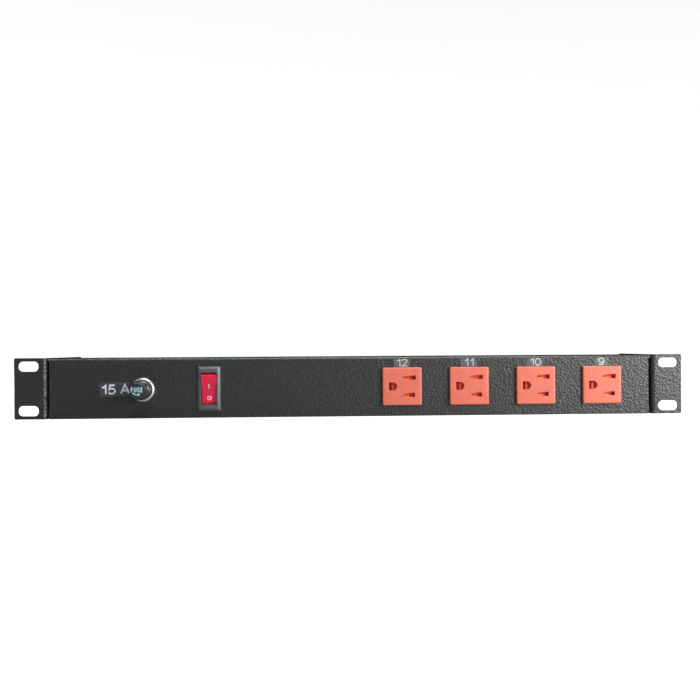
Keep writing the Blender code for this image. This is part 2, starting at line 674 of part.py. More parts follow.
def switch():
    frame = box((-BEZEL_HALF_X, -BEZEL_HALF_Y, GAP), (BEZEL_HALF_X, BEZEL_HALF_Y, 2.0))
    join(frame, box((-SWITCH_BODY_HALF_X, -SWITCH_BODY_HALF_Y, -19.0),
                    (SWITCH_BODY_HALF_X, SWITCH_BODY_HALF_Y, 1.0)))
    cut(frame, box((-5.75, -11.5, -17.4), (5.75, 11.5, 3.0)))
    terminals = (("switch_terminal_in", TERMINAL_Y), ("switch_terminal_out", 0.0),
                 ("switch_terminal_lamp", -TERMINAL_Y))
    for name, y in terminals:
        cut(frame, box((-3.5, y - 0.75, -20.0), (3.5, y + 0.75, -17.0)))
        tab = box((-3.15, y - 0.4, -27.0), (3.15, y + 0.4, -16.2))
        tab.matrix_world = face_frame("front", SWITCH_X, SWITCH_Z)
        finish(tab, name, BRASS)
    frame.matrix_world = face_frame("front", SWITCH_X, SWITCH_Z)
    finish(frame, "switch_frame", BLACK_PLASTIC)

    half = [(10.0, -1.6), (10.8, 0.0), (10.6, 3.9)]
    outline = [(1.3, -6.6), (3.0, -2.4)] + half + [(0.0, 3.0)]
    outline += [(-y, z) for y, z in reversed(half)] + [(-3.0, -2.4), (-1.3, -6.6)]
    rocker = plate("rocker", outline, ROCKER_WIDTH, in_side_plane())
    cut(rocker, box((-2.2, 3.6, -6.0), (2.2, 9.2, 2.2)))
    tilt = Matrix.Rotation(math.radians(ROCKER_REST_DEG), 4, "X")
    pivot = face_frame("front", SWITCH_X, SWITCH_Z, ROCKER_PIVOT_Z)
    rocker.matrix_world = pivot @ tilt
    finish(rocker, "switch_rocker", RED_LENS)

    lamp = turned("lamp", [(0.0, 2.2), (1.0, 2.0), (1.5, 1.4), (1.5, -1.8), (1.1, -2.2), (0.0, -2.2)], 12)
    lying = Matrix.Translation((0.0, 6.4 * MM, 0.4 * MM)) @ Matrix.Rotation(-math.pi / 2, 4, "X")
    lamp.matrix_world = pivot @ tilt @ lying
    finish(lamp, "switch_lamp", LAMP_GLASS, smooth=True)

    outline = [(-8.0, -0.4), (-1.6, -0.4), (0.0, -2.2), (1.6, -0.4), (8.0, -0.4), (8.0, 0.4), (-8.0, 0.4)]
    lever = plate("lever", outline, 5.0, in_side_plane())
    tilt = Matrix.Rotation(math.radians(-LEVER_REST_DEG), 4, "X")
    lever.matrix_world = face_frame("front", SWITCH_X, SWITCH_Z, LEVER_PIVOT_Z) @ tilt
    finish(lever, "switch_contact_lever", BRASS)


# ---------------------------------------------------------------- gland

def gland():
    at_gland = face_frame("rear", GLAND_X, GLAND_Z)
    thread = GLAND_HOLE_RADIUS - GAP

    body = turned("body", [(0.0, 15.0), (8.2, 15.0), (8.6, 14.6), (8.6, 4.0), (thread, 4.0), (thread, -9.0),
                           (0.0, -9.0)], 32)
    join(body, hexagon(22.0, 1.8, 6.3, turn_deg=38.0))
    cut(body, turned("bore", [(0.0, 17.0), (6.6, 17.0), (6.6, 6.0), (6.0, 6.0), (6.0, -11.0),
                              (0.0, -11.0)], 32))
    body.matrix_world = at_gland
    finish(body, "gland_body", GREY_PLASTIC, smooth=True)

    gasket = turned("gasket", [(9.6, 1.5), (11.4, 1.5), (11.6, 1.3), (11.6, GAP), (9.6, GAP)], 32,
                    closed=True)
    gasket.matrix_world = at_gland
    finish(gasket, "gland_gasket", BLACK_RUBBER, smooth=True)

    nut = hexagon(23.0, -6.0, -1.5, turn_deg=30.0)
    cut(nut, prism(GLAND_HOLE_RADIUS, -8.0, 0.0, 32))
    nut.matrix_world = at_gland
    finish(nut, "gland_lock_nut", GREY_PLASTIC, smooth=True)

    seal = turned("seal", [(3.9, 26.5), (5.0, 26.5), (7.8, 19.4), (7.8, 17.2), (6.2, 16.8), (6.2, 9.0),
                           (3.9, 9.0)], 24, closed=True)
    seal.matrix_world = at_gland
    finish(seal, "gland_seal", BLACK_RUBBER, smooth=True)

    dome = turned("dome", [(0.0, 29.5), (6.4, 29.5), (7.6, 28.8), (9.4, 24.5), (10.4, 19.5), (10.6, 16.0),
                           (10.6, 8.5), (0.0, 8.5)], 32)
    join(dome, hexagon(21.6, 8.3, 17.5, turn_deg=0.0))
    cut(dome, turned("bore", [(0.0, 31.0), (4.9, 31.0), (4.9, 28.0), (5.6, 27.3), (9.0, 19.8), (9.0, 6.0),
                              (0.0, 6.0)], 32))
    dome.matrix_world = at_gland
    finish(dome, "gland_dome_nut", GREY_PLASTIC, smooth=True)


# ---------------------------------------------------------------- wiring

def terminal_block():
    block = box(BLOCK_LOW, BLOCK_HIGH)
    middle_x = (BLOCK_LOW[0] + BLOCK_HIGH[0]) / 2
    for y in BLOCK_POLES_Y:
        cut(block, prism(2.0, 12.0, 18.0, 12, centre=(middle_x, y)))
        for x in (BLOCK_LOW[0], BLOCK_HIGH[0]):
            hole = prism(1.7, -5.0, 5.0, 12)
            turn = Matrix.Rotation(math.pi / 2, 4, "Y")
            hole.matrix_world = Matrix.Translation(Vector((x, y, BLOCK_WIRE_Z)) * MM) @ turn
            cut(block, hole)
    finish(block, "terminal_block", WHITE_NYLON)


def wires():
    back_of_fuse = -HALF_DEPTH + 33.0
    back_of_switch = -HALF_DEPTH + 27.4
    block_x = BLOCK_HIGH[0] - 2.0

    line_in = wire("in", [(FUSE_X - 1.8, back_of_fuse + 1.6, FUSE_Z),
                          (FUSE_X - 4.0, back_of_fuse + 4.5, FUSE_Z),
                          (-164.0, -1.0, 18.0), (-172.0, -10.0, 11.0),
                          (-177.0, BLOCK_POLES_Y[0], BLOCK_WIRE_Z),
                          (block_x, BLOCK_POLES_Y[0], BLOCK_WIRE_Z)])
    finish(line_in, "wire_block_to_fuse", WIRE_BLACK, smooth=True)

    top = SWITCH_Z + TERMINAL_Y
    to_switch = wire("to_switch", [(FUSE_X + 12.2, -HALF_DEPTH + 15.0, FUSE_Z), (-132.0, -21.0, 22.0),
                                   (-116.0, -6.0, 27.0), (SWITCH_X - 2.0, -3.5, top),
                                   (SWITCH_X, back_of_switch, top)])
    finish(to_switch, "wire_fuse_to_switch", WIRE_BLACK, smooth=True)

    on_line_bar = OUTLET_Z - BLADE_BAR_OFFSET + BAR_THICKNESS / 2 + GAP + WIRE_RADIUS
    to_line = wire("to_line", [(SWITCH_X, back_of_switch, SWITCH_Z), (SWITCH_X, -4.0, SWITCH_Z),
                               (-100.0, 2.0, on_line_bar + 1.0), (-96.0, 7.0, on_line_bar),
                               (-88.0, 9.0, on_line_bar)])
    finish(to_line, "wire_switch_to_line_bar", WIRE_BLACK, smooth=True)

    under_neutral_bar = OUTLET_Z + BLADE_BAR_OFFSET - BAR_THICKNESS / 2 - GAP - WIRE_RADIUS
    low = SWITCH_Z - TERMINAL_Y
    to_neutral = wire("to_neutral", [(SWITCH_X, back_of_switch, low), (SWITCH_X, -4.0, low),
                                     (-112.0, 0.0, 17.0), (-116.0, 3.0, under_neutral_bar - 1.0),
                                     (-124.0, 9.0, under_neutral_bar)])
    finish(to_neutral, "wire_lamp_to_neutral_bar", WIRE_WHITE, smooth=True)


housing_channel()
bottom_cover()
for end in (-1, 1):
    ear_bracket(end)
    end_name = "right" if end > 0 else "left"
    outer_face = HALF_WIDTH + GAP + EAR_SHEET
    pan_head_screw(f"end_screw_{end_name}_upper", end_frame(end, UPPER_SCREW, outer_face), SCREW_LENGTH)
    pan_head_screw(f"end_screw_{end_name}_lower", end_frame(end, LOWER_SCREW, outer_face), SCREW_LENGTH)
outlets()
bus_bars()
fuse()
switch()
gland()
terminal_block()
ground_frame = Matrix.Translation(Vector((GROUND_SCREW_X, GROUND_SCREW_Y, 2.3)) * MM)
pan_head_screw("ground_screw", ground_frame, 2.0)
wires()
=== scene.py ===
"""Looks of the rack power strip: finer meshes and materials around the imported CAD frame.

Lengths are in millimetres until a helper turns them into metres. Everything that sits in a face of
the housing is built in that face's frame: x to the right seen from outside, y up, z outwards.
"""

import math

import bmesh
import bpy
from mathutils import Matrix, Vector


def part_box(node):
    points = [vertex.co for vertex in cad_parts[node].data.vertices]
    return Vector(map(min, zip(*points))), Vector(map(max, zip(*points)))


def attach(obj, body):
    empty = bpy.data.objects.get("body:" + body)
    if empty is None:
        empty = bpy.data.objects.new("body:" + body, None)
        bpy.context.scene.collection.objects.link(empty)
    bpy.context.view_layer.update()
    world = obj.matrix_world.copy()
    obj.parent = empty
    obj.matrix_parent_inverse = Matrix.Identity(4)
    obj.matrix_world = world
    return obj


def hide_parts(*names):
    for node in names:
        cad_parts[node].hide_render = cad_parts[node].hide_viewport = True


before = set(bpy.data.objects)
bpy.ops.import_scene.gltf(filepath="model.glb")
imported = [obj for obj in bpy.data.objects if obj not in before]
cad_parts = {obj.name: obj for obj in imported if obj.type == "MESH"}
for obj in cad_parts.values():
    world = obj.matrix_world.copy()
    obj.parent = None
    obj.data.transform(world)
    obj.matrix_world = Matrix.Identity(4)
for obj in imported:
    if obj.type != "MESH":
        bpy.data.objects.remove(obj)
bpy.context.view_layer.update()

MM = 0.001


def low_high(node):
    """A CAD node's box in millimetres."""
    low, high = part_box(node)
    return Vector(low) / MM, Vector(high) / MM


def centre_x_z(node):
    low, high = low_high(node)
    return (low.x + high.x) / 2, (low.z + high.z) / 2


BODY_LOW, BODY_HIGH = low_high("housing_channel")
FRONT_Y, REAR_Y, BODY_TOP = BODY_LOW.y, BODY_HIGH.y, BODY_HIGH.z
SHEET = 1.2
SHEET_BEND = 1.8
REAR_OUTLETS, OUTLET_COUNT = 8, 12


# ---------------------------------------------------------------- shape helpers

def link(obj):
    bpy.context.scene.collection.objects.link(obj)
    return obj


def mesh_object(name, bm):
    """An object from a bmesh in millimetres."""
    bmesh.ops.scale(bm, vec=Vector((MM, MM, MM)), verts=bm.verts)
    mesh = bpy.data.meshes.new(name)
    bm.to_mesh(mesh)
    bm.free()
    return link(bpy.data.objects.new(name, mesh))


def bake(obj, merge=0.001):
    """Turn an object and its modifiers into a plain mesh, with every face pointing out."""
    graph = bpy.context.evaluated_depsgraph_get()
    graph.update()
    mesh = bpy.data.meshes.new_from_object(obj.evaluated_get(graph))
    bm = bmesh.new()
    bm.from_mesh(mesh)
    bmesh.ops.remove_doubles(bm, verts=bm.verts, dist=merge * MM)
    bmesh.ops.recalc_face_normals(bm, faces=bm.faces)
    bm.to_mesh(mesh)
    bm.free()
    if obj.type == "MESH":
        obj.modifiers.clear()
        obj.data = mesh
        return obj
    made = link(bpy.data.objects.new(obj.name, mesh))
    made.matrix_world = obj.matrix_world
    bpy.data.objects.remove(obj, do_unlink=True)
    return made


def combine(obj, tools, operation):
    for tool in tools:
        modifier = obj.modifiers.new(operation.lower(), "BOOLEAN")
        modifier.operation = operation
        modifier.object = tool
        modifier.solver = "EXACT"
        bake(obj)
        bpy.data.objects.remove(tool, do_unlink=True)
    return obj


def join(obj, *tools):
    return combine(obj, tools, "UNION")


def cut(obj, *tools):
    return combine(obj, tools, "DIFFERENCE")


def merge_meshes(name, objects):
    """Several objects as one mesh object at the origin, each part where its object was."""
    bpy.context.view_layer.update()
    bm = bmesh.new()
    for obj in objects:
        mesh = obj.data.copy()
        mesh.transform(obj.matrix_world)
        bm.from_mesh(mesh)
        bpy.data.meshes.remove(mesh)
        bpy.data.objects.remove(obj, do_unlink=True)
    mesh = bpy.data.meshes.new(name)
    bm.to_mesh(mesh)
    bm.free()
    return link(bpy.data.objects.new(name, mesh))


def box(low, high, name="box"):
    bm = bmesh.new()
    bmesh.ops.create_cube(bm, size=1.0)
    size = Vector(high) - Vector(low)
    place = Matrix.Translation((Vector(high) + Vector(low)) / 2) @ Matrix.Diagonal((*size, 1.0))
    bmesh.ops.transform(bm, matrix=place, verts=bm.verts)
    return mesh_object(name, bm)


def prism(radius, low_z, high_z, sides, turn_deg=0.0, centre=(0.0, 0.0), name="prism"):
    bm = bmesh.new()
    bmesh.ops.create_cone(bm, cap_ends=True, segments=sides, radius1=radius, radius2=radius,
                          depth=high_z - low_z)
    place = Matrix.Translation((*centre, (low_z + high_z) / 2))
    place = place @ Matrix.Rotation(math.radians(turn_deg), 4, "Z")
    bmesh.ops.transform(bm, matrix=place, verts=bm.verts)
    return mesh_object(name, bm)


def hexagon(across_flats, low_z, high_z, turn_deg=0.0):
    return prism(across_flats / 2 / math.cos(math.pi / 6), low_z, high_z, 6, turn_deg)


def turned(name, profile, steps=64, closed=False):
    """(radius, z) points that run down the outer side, turned about the z axis."""
    bm = bmesh.new()
    verts = [bm.verts.new((radius, 0.0, z)) for radius, z in profile]
    for first, second in zip(verts, verts[1:]):
        bm.edges.new((first, second))
    if closed:
        bm.edges.new((verts[-1], verts[0]))
    obj = mesh_object(name, bm)
    screw = obj.modifiers.new("turn", "SCREW")
    screw.steps = steps
    screw.render_steps = steps
    screw.use_merge_vertices = True
    screw.merge_threshold = 0.00001
    return bake(obj)


def arc(centre, radius, start_deg, end_deg, steps):
    """Points on an arc, or on an ellipse's arc where the radius is a pair."""
    radius_a, radius_b = radius if isinstance(radius, tuple) else (radius, radius)
    points = []
    for step in range(steps + 1):
        angle = math.radians(start_deg + (end_deg - start_deg) * step / steps)
        points.append((centre[0] + radius_a * math.cos(angle), centre[1] + radius_b * math.sin(angle)))
    return points


def rounded_box(half_x, half_y, radius, steps=5, centre=(0.0, 0.0)):
    """A rectangle's outline with round corners, counter-clockwise."""
    a, b = half_x - radius, half_y - radius
    points = []
    for (x, y), start in (((a, -b), -90), ((a, b), 0), ((-a, b), 90), ((-a, -b), 180)):
        points += arc((centre[0] + x, centre[1] + y), radius, start, start + 90, steps)
    return points


def plate(name, outlines, low_z, high_z, to_frame=None):
    """Outlines with their holes, extruded from low_z to high_z."""
    curve = bpy.data.curves.new(name, "CURVE")
    curve.dimensions = "2D"
    curve.fill_mode = "BOTH"
    curve.extrude = (high_z - low_z) / 2 * MM
    for points in outlines:
        spline = curve.splines.new("POLY")
        spline.points.add(len(points) - 1)
        spline.use_cyclic_u = True
        for point, (a, b) in zip(spline.points, points):
            point.co = (a * MM, b * MM, 0.0, 1.0)
    obj = bake(link(bpy.data.objects.new(name, curve)), merge=0.0002)
    obj.data.transform(Matrix.Translation((0.0, 0.0, (low_z + high_z) / 2 * MM)))
    if to_frame is not None:
        obj.data.transform(to_frame)
    return obj


def stacked(name, levels):
    """A closed form through outlines at rising heights: (outline, z) pairs of equal point counts."""
    bm = bmesh.new()
    rings = [[bm.verts.new((x, y, z)) for x, y in outline] for outline, z in levels]
    for lower, upper in zip(rings, rings[1:]):
        count = len(lower)
        for index in range(count):
            after = (index + 1) % count
            bm.faces.new((lower[index], lower[after], upper[after], upper[index]))
    bm.faces.new(rings[0][::-1])
    bm.faces.new(rings[-1])
    return mesh_object(name, bm)


def smooth(obj, angle=35):
    obj.data.shade_smooth()
    obj.data.set_sharp_from_angle(angle=math.radians(angle))
    return obj


def soften(obj, width, segments=2, angle=30):
    """Round the sharp edges of a mesh and shade it smooth."""
    bevel = obj.modifiers.new("edge_round", "BEVEL")
    bevel.width = width * MM
    bevel.segments = segments
    bevel.limit_method = "ANGLE"
    bevel.angle_limit = math.radians(angle)
    bevel.harden_normals = True
    bevel.miter_outer = "MITER_ARC"
    return smooth(obj)


def face_frame(face, x, z, out=0.0):
    """The matrix of a face frame at X, Z on the front or rear face, a distance out from it."""
    if face == "front":
        turn = Matrix.Rotation(math.pi / 2, 4, "X")
        origin = Vector((x, FRONT_Y - out, z))
    else:
        turn = Matrix.Rotation(math.pi, 4, "Z") @ Matrix.Rotation(math.pi / 2, 4, "X")
        origin = Vector((x, REAR_Y + out, z))
    return Matrix.Translation(origin * MM) @ turn


# Carries an outline of (y, z) points into a face frame's plane across x.
SIDE_PLANE = Matrix.Rotation(math.pi / 2, 4, "Y") @ Matrix.Rotation(math.pi / 2, 4, "Z")

# Carries an outline of (X, Z) points into the front face's plane.
FRONT_PLANE = Matrix.Translation((0.0, FRONT_Y * MM, 0.0)) @ Matrix.Rotation(math.pi / 2, 4, "X")


def moved(x=0.0, y=0.0, z=0.0):
    return Matrix.Translation(Vector((x, y, z)) * MM)


def put(obj, name, matrix, mat, body="housing", nodes=()):
    """Name and place a finished piece, give it its material, tie it to its body and hide the CAD nodes it
    stands in for.
    """
    obj.name = name
    obj.matrix_world = matrix
    obj.data.materials.clear()
    obj.data.materials.append(mat)
    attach(obj, body)
    if nodes:
        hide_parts(*nodes)
    return obj


# ---------------------------------------------------------------- lettering

def glyph_strokes(letter):
    """The centre lines of a letter one unit high: a list of (points, closed)."""
    low_bowl, high_bowl = ((0.25, 0.27), (0.26, 0.27)), ((0.25, 0.77), (0.22, 0.23))
    hook = arc((0.30, 0.5), (0.30, 0.5), 50, 180, 8) + [(0.0, 0.32)]
    ring = arc((0.26, 0.32), (0.26, 0.32), 0, 360, 20)[:-1]
    nine = [([(0.52 - x, 1.0 - y) for x, y in points], closed)
            for points, closed in ((hook, False), (ring, True))]
    shapes = {
        "0": [(arc((0.26, 0.5), (0.26, 0.5), 0, 360, 24)[:-1], True)],
        "1": [([(0.06, 0.74), (0.22, 0.84), (0.33, 1.0), (0.33, 0.0)], False)],
        "2": [(arc((0.26, 0.72), (0.24, 0.28), 170, -30, 10) + [(0.0, 0.0), (0.53, 0.0)], False)],
        "3": [(arc(*high_bowl, 160, -90, 12) + [(0.16, 0.54)], False),
              (arc(*low_bowl, 90, -165, 12), False)],
        "4": [([(0.40, 0.0), (0.40, 1.0), (0.0, 0.29), (0.55, 0.29)], False)],
        "5": [([(0.49, 1.0), (0.11, 1.0), (0.05, 0.50)]
               + arc((0.24, 0.31), (0.27, 0.31), 125, -155, 12), False)],
        "6": [(hook, False), (ring, True)],
        "7": [([(0.0, 1.0), (0.52, 1.0), (0.33, 0.66), (0.22, 0.35), (0.18, 0.0)], False)],
        "8": [(arc(*high_bowl, 0, 360, 20)[:-1], True), (arc(*low_bowl, 0, 360, 20)[:-1], True)],
        "9": nine,
        "A": [([(0.0, 0.0), (0.34, 1.0), (0.68, 0.0)], False), ([(0.12, 0.33), (0.56, 0.33)], False)],
        "C": [(arc((0.36, 0.5), (0.36, 0.5), 42, 318, 16), False)],
        "E": [([(0.50, 1.0), (0.0, 1.0), (0.0, 0.0), (0.52, 0.0)], False),
              ([(0.0, 0.53), (0.46, 0.53)], False)],
        "F": [([(0.0, 0.0), (0.0, 1.0), (0.50, 1.0)], False), ([(0.0, 0.52), (0.43, 0.52)], False)],
        "S": [(arc((0.27, 0.75), (0.26, 0.25), 25, 270, 10)
               + arc((0.27, 0.25), (0.27, 0.25), 90, -155, 10)[1:], False)],
        "U": [([(0.0, 1.0)] + arc((0.28, 0.28), (0.28, 0.28), 180, 360, 10) + [(0.56, 1.0)], False)],
        "V": [([(0.0, 1.0), (0.34, 0.0), (0.68, 1.0)], False)],
        "-": [([(0.0, 0.36), (0.26, 0.36)], False)],
        " ": [],
    }
    return shapes[letter]


def stroke_outlines(points, half, closed):
    """The outline of a stroke of even width along a centre line, with mitred corners."""
    places = [Vector(point) for point in points]
    count = len(places)
    left, right = [], []
    for index, place in enumerate(places):
        before = places[index - 1] if closed or index else None
        after = places[(index + 1) % count] if closed or index < count - 1 else None
        first = (place - before).normalized() if before is not None else (after - place).normalized()
        second = (after - place).normalized() if after is not None else first
        normal = Vector((-first.y, first.x))
        mitre = (normal + Vector((-second.y, second.x))).normalized()
        offset = mitre * half / max(0.45, mitre.dot(normal))
        left.append(tuple(place + offset))
        right.append(tuple(place - offset))
    return [left, right] if closed else [left + right[::-1]]


LETTER_GAP = 1.75
LAYER_STEP = 0.004


def lettering(name, text, height, stroke, squeeze=1.0, depth=0.03):
    """Plain sans-serif letters, centred on the origin, standing on z = 0.

    The gap between letters is in strokes, and crossing strokes differ a little in height.
    """
    rise = height - stroke
    pieces, cursor, last = [], 0.0, 0.0
    for letter in text:
        strokes = glyph_strokes(letter)
        width = max((x for points, _ in strokes for x, _ in points), default=0.0) * rise * squeeze
        for layer, (points, closed) in enumerate(strokes):
            path = [(cursor + x * rise * squeeze, (y - 0.5) * rise) for x, y in points]
            top = depth + LAYER_STEP * layer
            pieces.append(plate("stroke", stroke_outlines(path, stroke / 2, closed), 0.0, top))
        last = cursor + width
        cursor = last + stroke * LETTER_GAP
    letters = merge_meshes(name, pieces)
    letters.data.transform(moved(-last / 2))
    return letters


# ---------------------------------------------------------------- materials

class Nodes:
    """A material's node tree, with short calls for what the materials below share."""

    def __init__(self, name, **values):
        self.mat = bpy.data.materials.new(name)
        self.mat.use_nodes = True
        self.tree = self.mat.node_tree
        self.shader = self.tree.nodes["Principled BSDF"]
        self.coords = self.tree.nodes.new("ShaderNodeTexCoord")
        for key, value in values.items():
            self.shader.inputs[key.replace("_", " ")].default_value = value

    def node(self, kind, **values):
        made = self.tree.nodes.new(kind)
        for key, value in values.items():
            if key in made.inputs.keys():
                made.inputs[key].default_value = value
            else:
                setattr(made, key, value)
        return made

    def join(self, output, target):
        self.tree.links.new(output, self.shader.inputs[target] if isinstance(target, str) else target)

    def stretched(self, scale):
        """Object coordinates, stretched by a scale for each axis."""
        mapping = self.node("ShaderNodeMapping")
        mapping.inputs["Scale"].default_value = scale
        self.join(self.coords.outputs["Object"], mapping.inputs["Vector"])
        return mapping.outputs["Vector"]

    def warped(self, scale, amount):
        """Object coordinates pushed about by noise, an amount in millimetres."""
        noise = self.node("ShaderNodeTexNoise", Scale=scale, Detail=2.0)
        self.join(self.coords.outputs["Object"], noise.inputs["Vector"])
        push = self.node("ShaderNodeVectorMath", operation="MULTIPLY_ADD")
        push.inputs[1].default_value = (amount * MM, amount * MM, amount * MM)
        self.join(noise.outputs["Color"], push.inputs[0])
        self.join(self.coords.outputs["Object"], push.inputs[2])
        return push.outputs["Vector"]

    def noise(self, scale, detail=3.0, roughness=0.5, distortion=0.0, vector=None):
        made = self.node("ShaderNodeTexNoise", Scale=scale, Detail=detail, Roughness=roughness,
                         Distortion=distortion)
        self.join(vector or self.coords.outputs["Object"], made.inputs["Vector"])
        return made.outputs["Fac"]

    def cells(self, scale, smoothness, vector=None):
        made = self.node("ShaderNodeTexVoronoi", feature="SMOOTH_F1", Scale=scale,
                         Smoothness=smoothness)
        self.join(vector or self.coords.outputs["Object"], made.inputs["Vector"])
        return made.outputs["Distance"]

    def ramp(self, source, low, high, low_colour, high_colour):
        made = self.node("ShaderNodeValToRGB")
        made.color_ramp.elements[0].position = low
        made.color_ramp.elements[1].position = high
        made.color_ramp.elements[0].color = (*low_colour, 1.0)
        made.color_ramp.elements[1].color = (*high_colour, 1.0)
        self.join(source, made.inputs["Fac"])
        return made.outputs["Color"]

    def spread(self, source, low, high, start=0.0, end=1.0):
        """A value from start to end spread over low to high."""
        made = self.node("ShaderNodeMapRange")
        made.inputs["From Min"].default_value = start
        made.inputs["From Max"].default_value = end
        made.inputs["To Min"].default_value = low
        made.inputs["To Max"].default_value = high
        self.join(source, made.inputs["Value"])
        return made.outputs["Result"]

    def mixed(self, share, first, second):
        """A colour that goes from the first to the second; each is a colour or an output."""
        made = self.node("ShaderNodeMix", data_type="RGBA")
        factor_input, first_input, second_input = (made.inputs[index] for index in (0, 6, 7))
        self.join(share, factor_input)
        for colour, target in ((first, first_input), (second, second_input)):
            if isinstance(colour, tuple):
                target.default_value = (*colour, 1.0)
            else:
                self.join(colour, target)
        return made.outputs[2]

    def bump(self, source, depth, below=None):
        """A bump of a depth in millimetres, on top of another one."""
        made = self.node("ShaderNodeBump", Strength=1.0, Distance=depth * MM)
        self.join(source, made.inputs["Height"])
        if below is not None:
            self.join(below, made.inputs["Normal"])
        return made.outputs["Normal"]

    def hollows(self, colour, deep, reach=3.0):
        """Painted shade: mix in a deeper colour inside holes and at the foot of rims, more of it where
        ambient occlusion is deeper.
        """
        open_sky = self.node("ShaderNodeAmbientOcclusion", samples=6, Distance=reach * MM)
        share = self.spread(open_sky.outputs["AO"], 0.0, 1.0, start=0.45, end=0.80)
        return self.mixed(share, deep, colour)

    def edge_wear(self, colour, edge_colour, radius=0.4, amount=1.0):
        """Mix in a paler colour where edges are sharp; on the outlets' rims this is a painted highlight."""
        rounded = self.node("ShaderNodeBevel", samples=4)
        rounded.inputs["Radius"].default_value = radius * MM
        plain = self.node("ShaderNodeNewGeometry")
        dot = self.node("ShaderNodeVectorMath", operation="DOT_PRODUCT")
        self.join(rounded.outputs["Normal"], dot.inputs[0])
        self.join(plain.outputs["Normal"], dot.inputs[1])
        edge = self.spread(dot.outputs["Value"], 0.0, amount, start=0.97, end=0.80)
        return self.mixed(edge, colour, edge_colour)


def powder_coat():
    """Black wrinkle powder coat: leathery grains about a millimetre across, matte at a low angle."""
    n = Nodes("black_powder_coat")
    facing = n.node("ShaderNodeLayerWeight", Blend=0.5)
    n.join(n.spread(facing.outputs["Facing"], 0.55, 0.0, start=0.35, end=0.70), "Specular IOR Level")
    wrinkled = n.warped(620.0, 1.3)
    grain = n.cells(600.0, 0.2, wrinkled)
    folds = n.noise(760.0, detail=2.0, roughness=0.5, distortion=1.0)
    fine = n.noise(3600.0, detail=2.0)
    n.join(n.ramp(folds, 0.35, 0.75, (0.009, 0.011, 0.011), (0.022, 0.026, 0.026)), "Base Color")
    n.join(n.spread(folds, 0.34, 0.48), "Roughness")
    normal = n.bump(grain, 0.25)
    normal = n.bump(folds, 0.13, below=normal)
    n.join(n.bump(fine, 0.012, below=normal), "Normal")
    return n.mat


def outlet_plastic():
    """Orange-red moulded plastic: satin, slightly translucent, with faint flow marks, a painted highlight
    along sharp rim edges and painted red shade in holes and at the flange's foot.
    """
    n = Nodes("outlet_plastic", Subsurface_Weight=0.22, Subsurface_Radius=(1.0, 0.28, 0.12),
              Subsurface_Scale=0.0012)
    flow = n.noise(90.0, detail=4.0, distortion=1.2)
    colour = n.ramp(flow, 0.3, 0.7, (0.500, 0.108, 0.067), (0.545, 0.126, 0.081))
    # Painted highlight: a paler colour along the outlet's sharp rim edges, where light catches them.
    colour = n.edge_wear(colour, (0.66, 0.24, 0.175), radius=0.5, amount=0.6)
    # Painted shade: a deep red mixed into the holes and around the flange's foot, where occlusion finds
    # shade.
    n.join(n.hollows(colour, (0.72, 0.032, 0.022)), "Base Color")
    n.join(n.spread(n.noise(420.0), 0.40, 0.54), "Roughness")
    n.join(n.bump(n.noise(2600.0, detail=2.0), 0.008), "Normal")
    return n.mat


def moulded(name, dark, light, roughness, grain=1800.0, depth=0.012, wear=None):
    """Moulded plastic or rubber with a fine grain and a little colour variation."""
    n = Nodes(name)
    colour = n.ramp(n.noise(160.0, detail=4.0, distortion=0.6), 0.3, 0.7, dark, light)
    # A paler colour mixed in along sharp edges, when one is given.
    if wear:
        colour = n.edge_wear(colour, wear)
    n.join(colour, "Base Color")
    n.join(n.spread(n.noise(500.0), roughness - 0.07, roughness + 0.07), "Roughness")
    n.join(n.bump(n.noise(grain, detail=2.0), depth), "Normal")
    return n.mat


def plated(name, dark, light, roughness, stretch=(1.0, 1.0, 1.0), depth=0.003):
    """Bare or plated metal with fine drawn or turned lines."""
    n = Nodes(name, Metallic=1.0)
    lines = n.noise(900.0, detail=4.0, vector=n.stretched(stretch))
    n.join(n.ramp(lines, 0.3, 0.7, dark, light), "Base Color")
    n.join(n.spread(lines, roughness - 0.06, roughness + 0.1), "Roughness")
    n.join(n.bump(lines, depth), "Normal")
    return n.mat


def red_lens():
    """Translucent red rocker, with faint streaks along its length."""
    n = Nodes("red_lens", Subsurface_Weight=0.4, Subsurface_Radius=(1.0, 0.12, 0.16),
              Subsurface_Scale=0.002, Coat_Weight=0.1, Coat_Roughness=0.15)
    streak = n.noise(330.0, detail=3.0, distortion=0.6, vector=n.stretched((1.0, 0.25, 0.25)))
    n.join(n.ramp(streak, 0.3, 0.7, (0.55, 0.003, 0.038), (0.66, 0.006, 0.052)), "Base Color")
    n.join(n.spread(n.noise(700.0), 0.20, 0.34), "Roughness")
    n.join(n.bump(streak, 0.008), "Normal")
    return n.mat


def clear_tape(name, dark, light):
    """Clear label tape over the black coat: smooth and glossy, with a little air under it."""
    n = Nodes(name, Specular_IOR_Level=0.6)
    air = n.noise(650.0, detail=4.0, distortion=1.0)
    n.join(n.ramp(air, 0.35, 0.75, dark, light), "Base Color")
    n.join(n.spread(air, 0.20, 0.40), "Roughness")
    n.join(n.bump(n.noise(500.0, detail=2.0), 0.03), "Normal")
    return n.mat


def glass(name, tint):
    n = Nodes(name, IOR=1.5, Transmission_Weight=0.92)
    streak = n.noise(300.0, detail=2.0)
    darker = tuple(0.96 * channel for channel in tint)
    n.join(n.ramp(streak, 0.3, 0.7, darker, tint), "Base Color")
    n.join(n.spread(streak, 0.02, 0.08), "Roughness")
    n.join(n.bump(streak, 0.002), "Normal")
    return n.mat


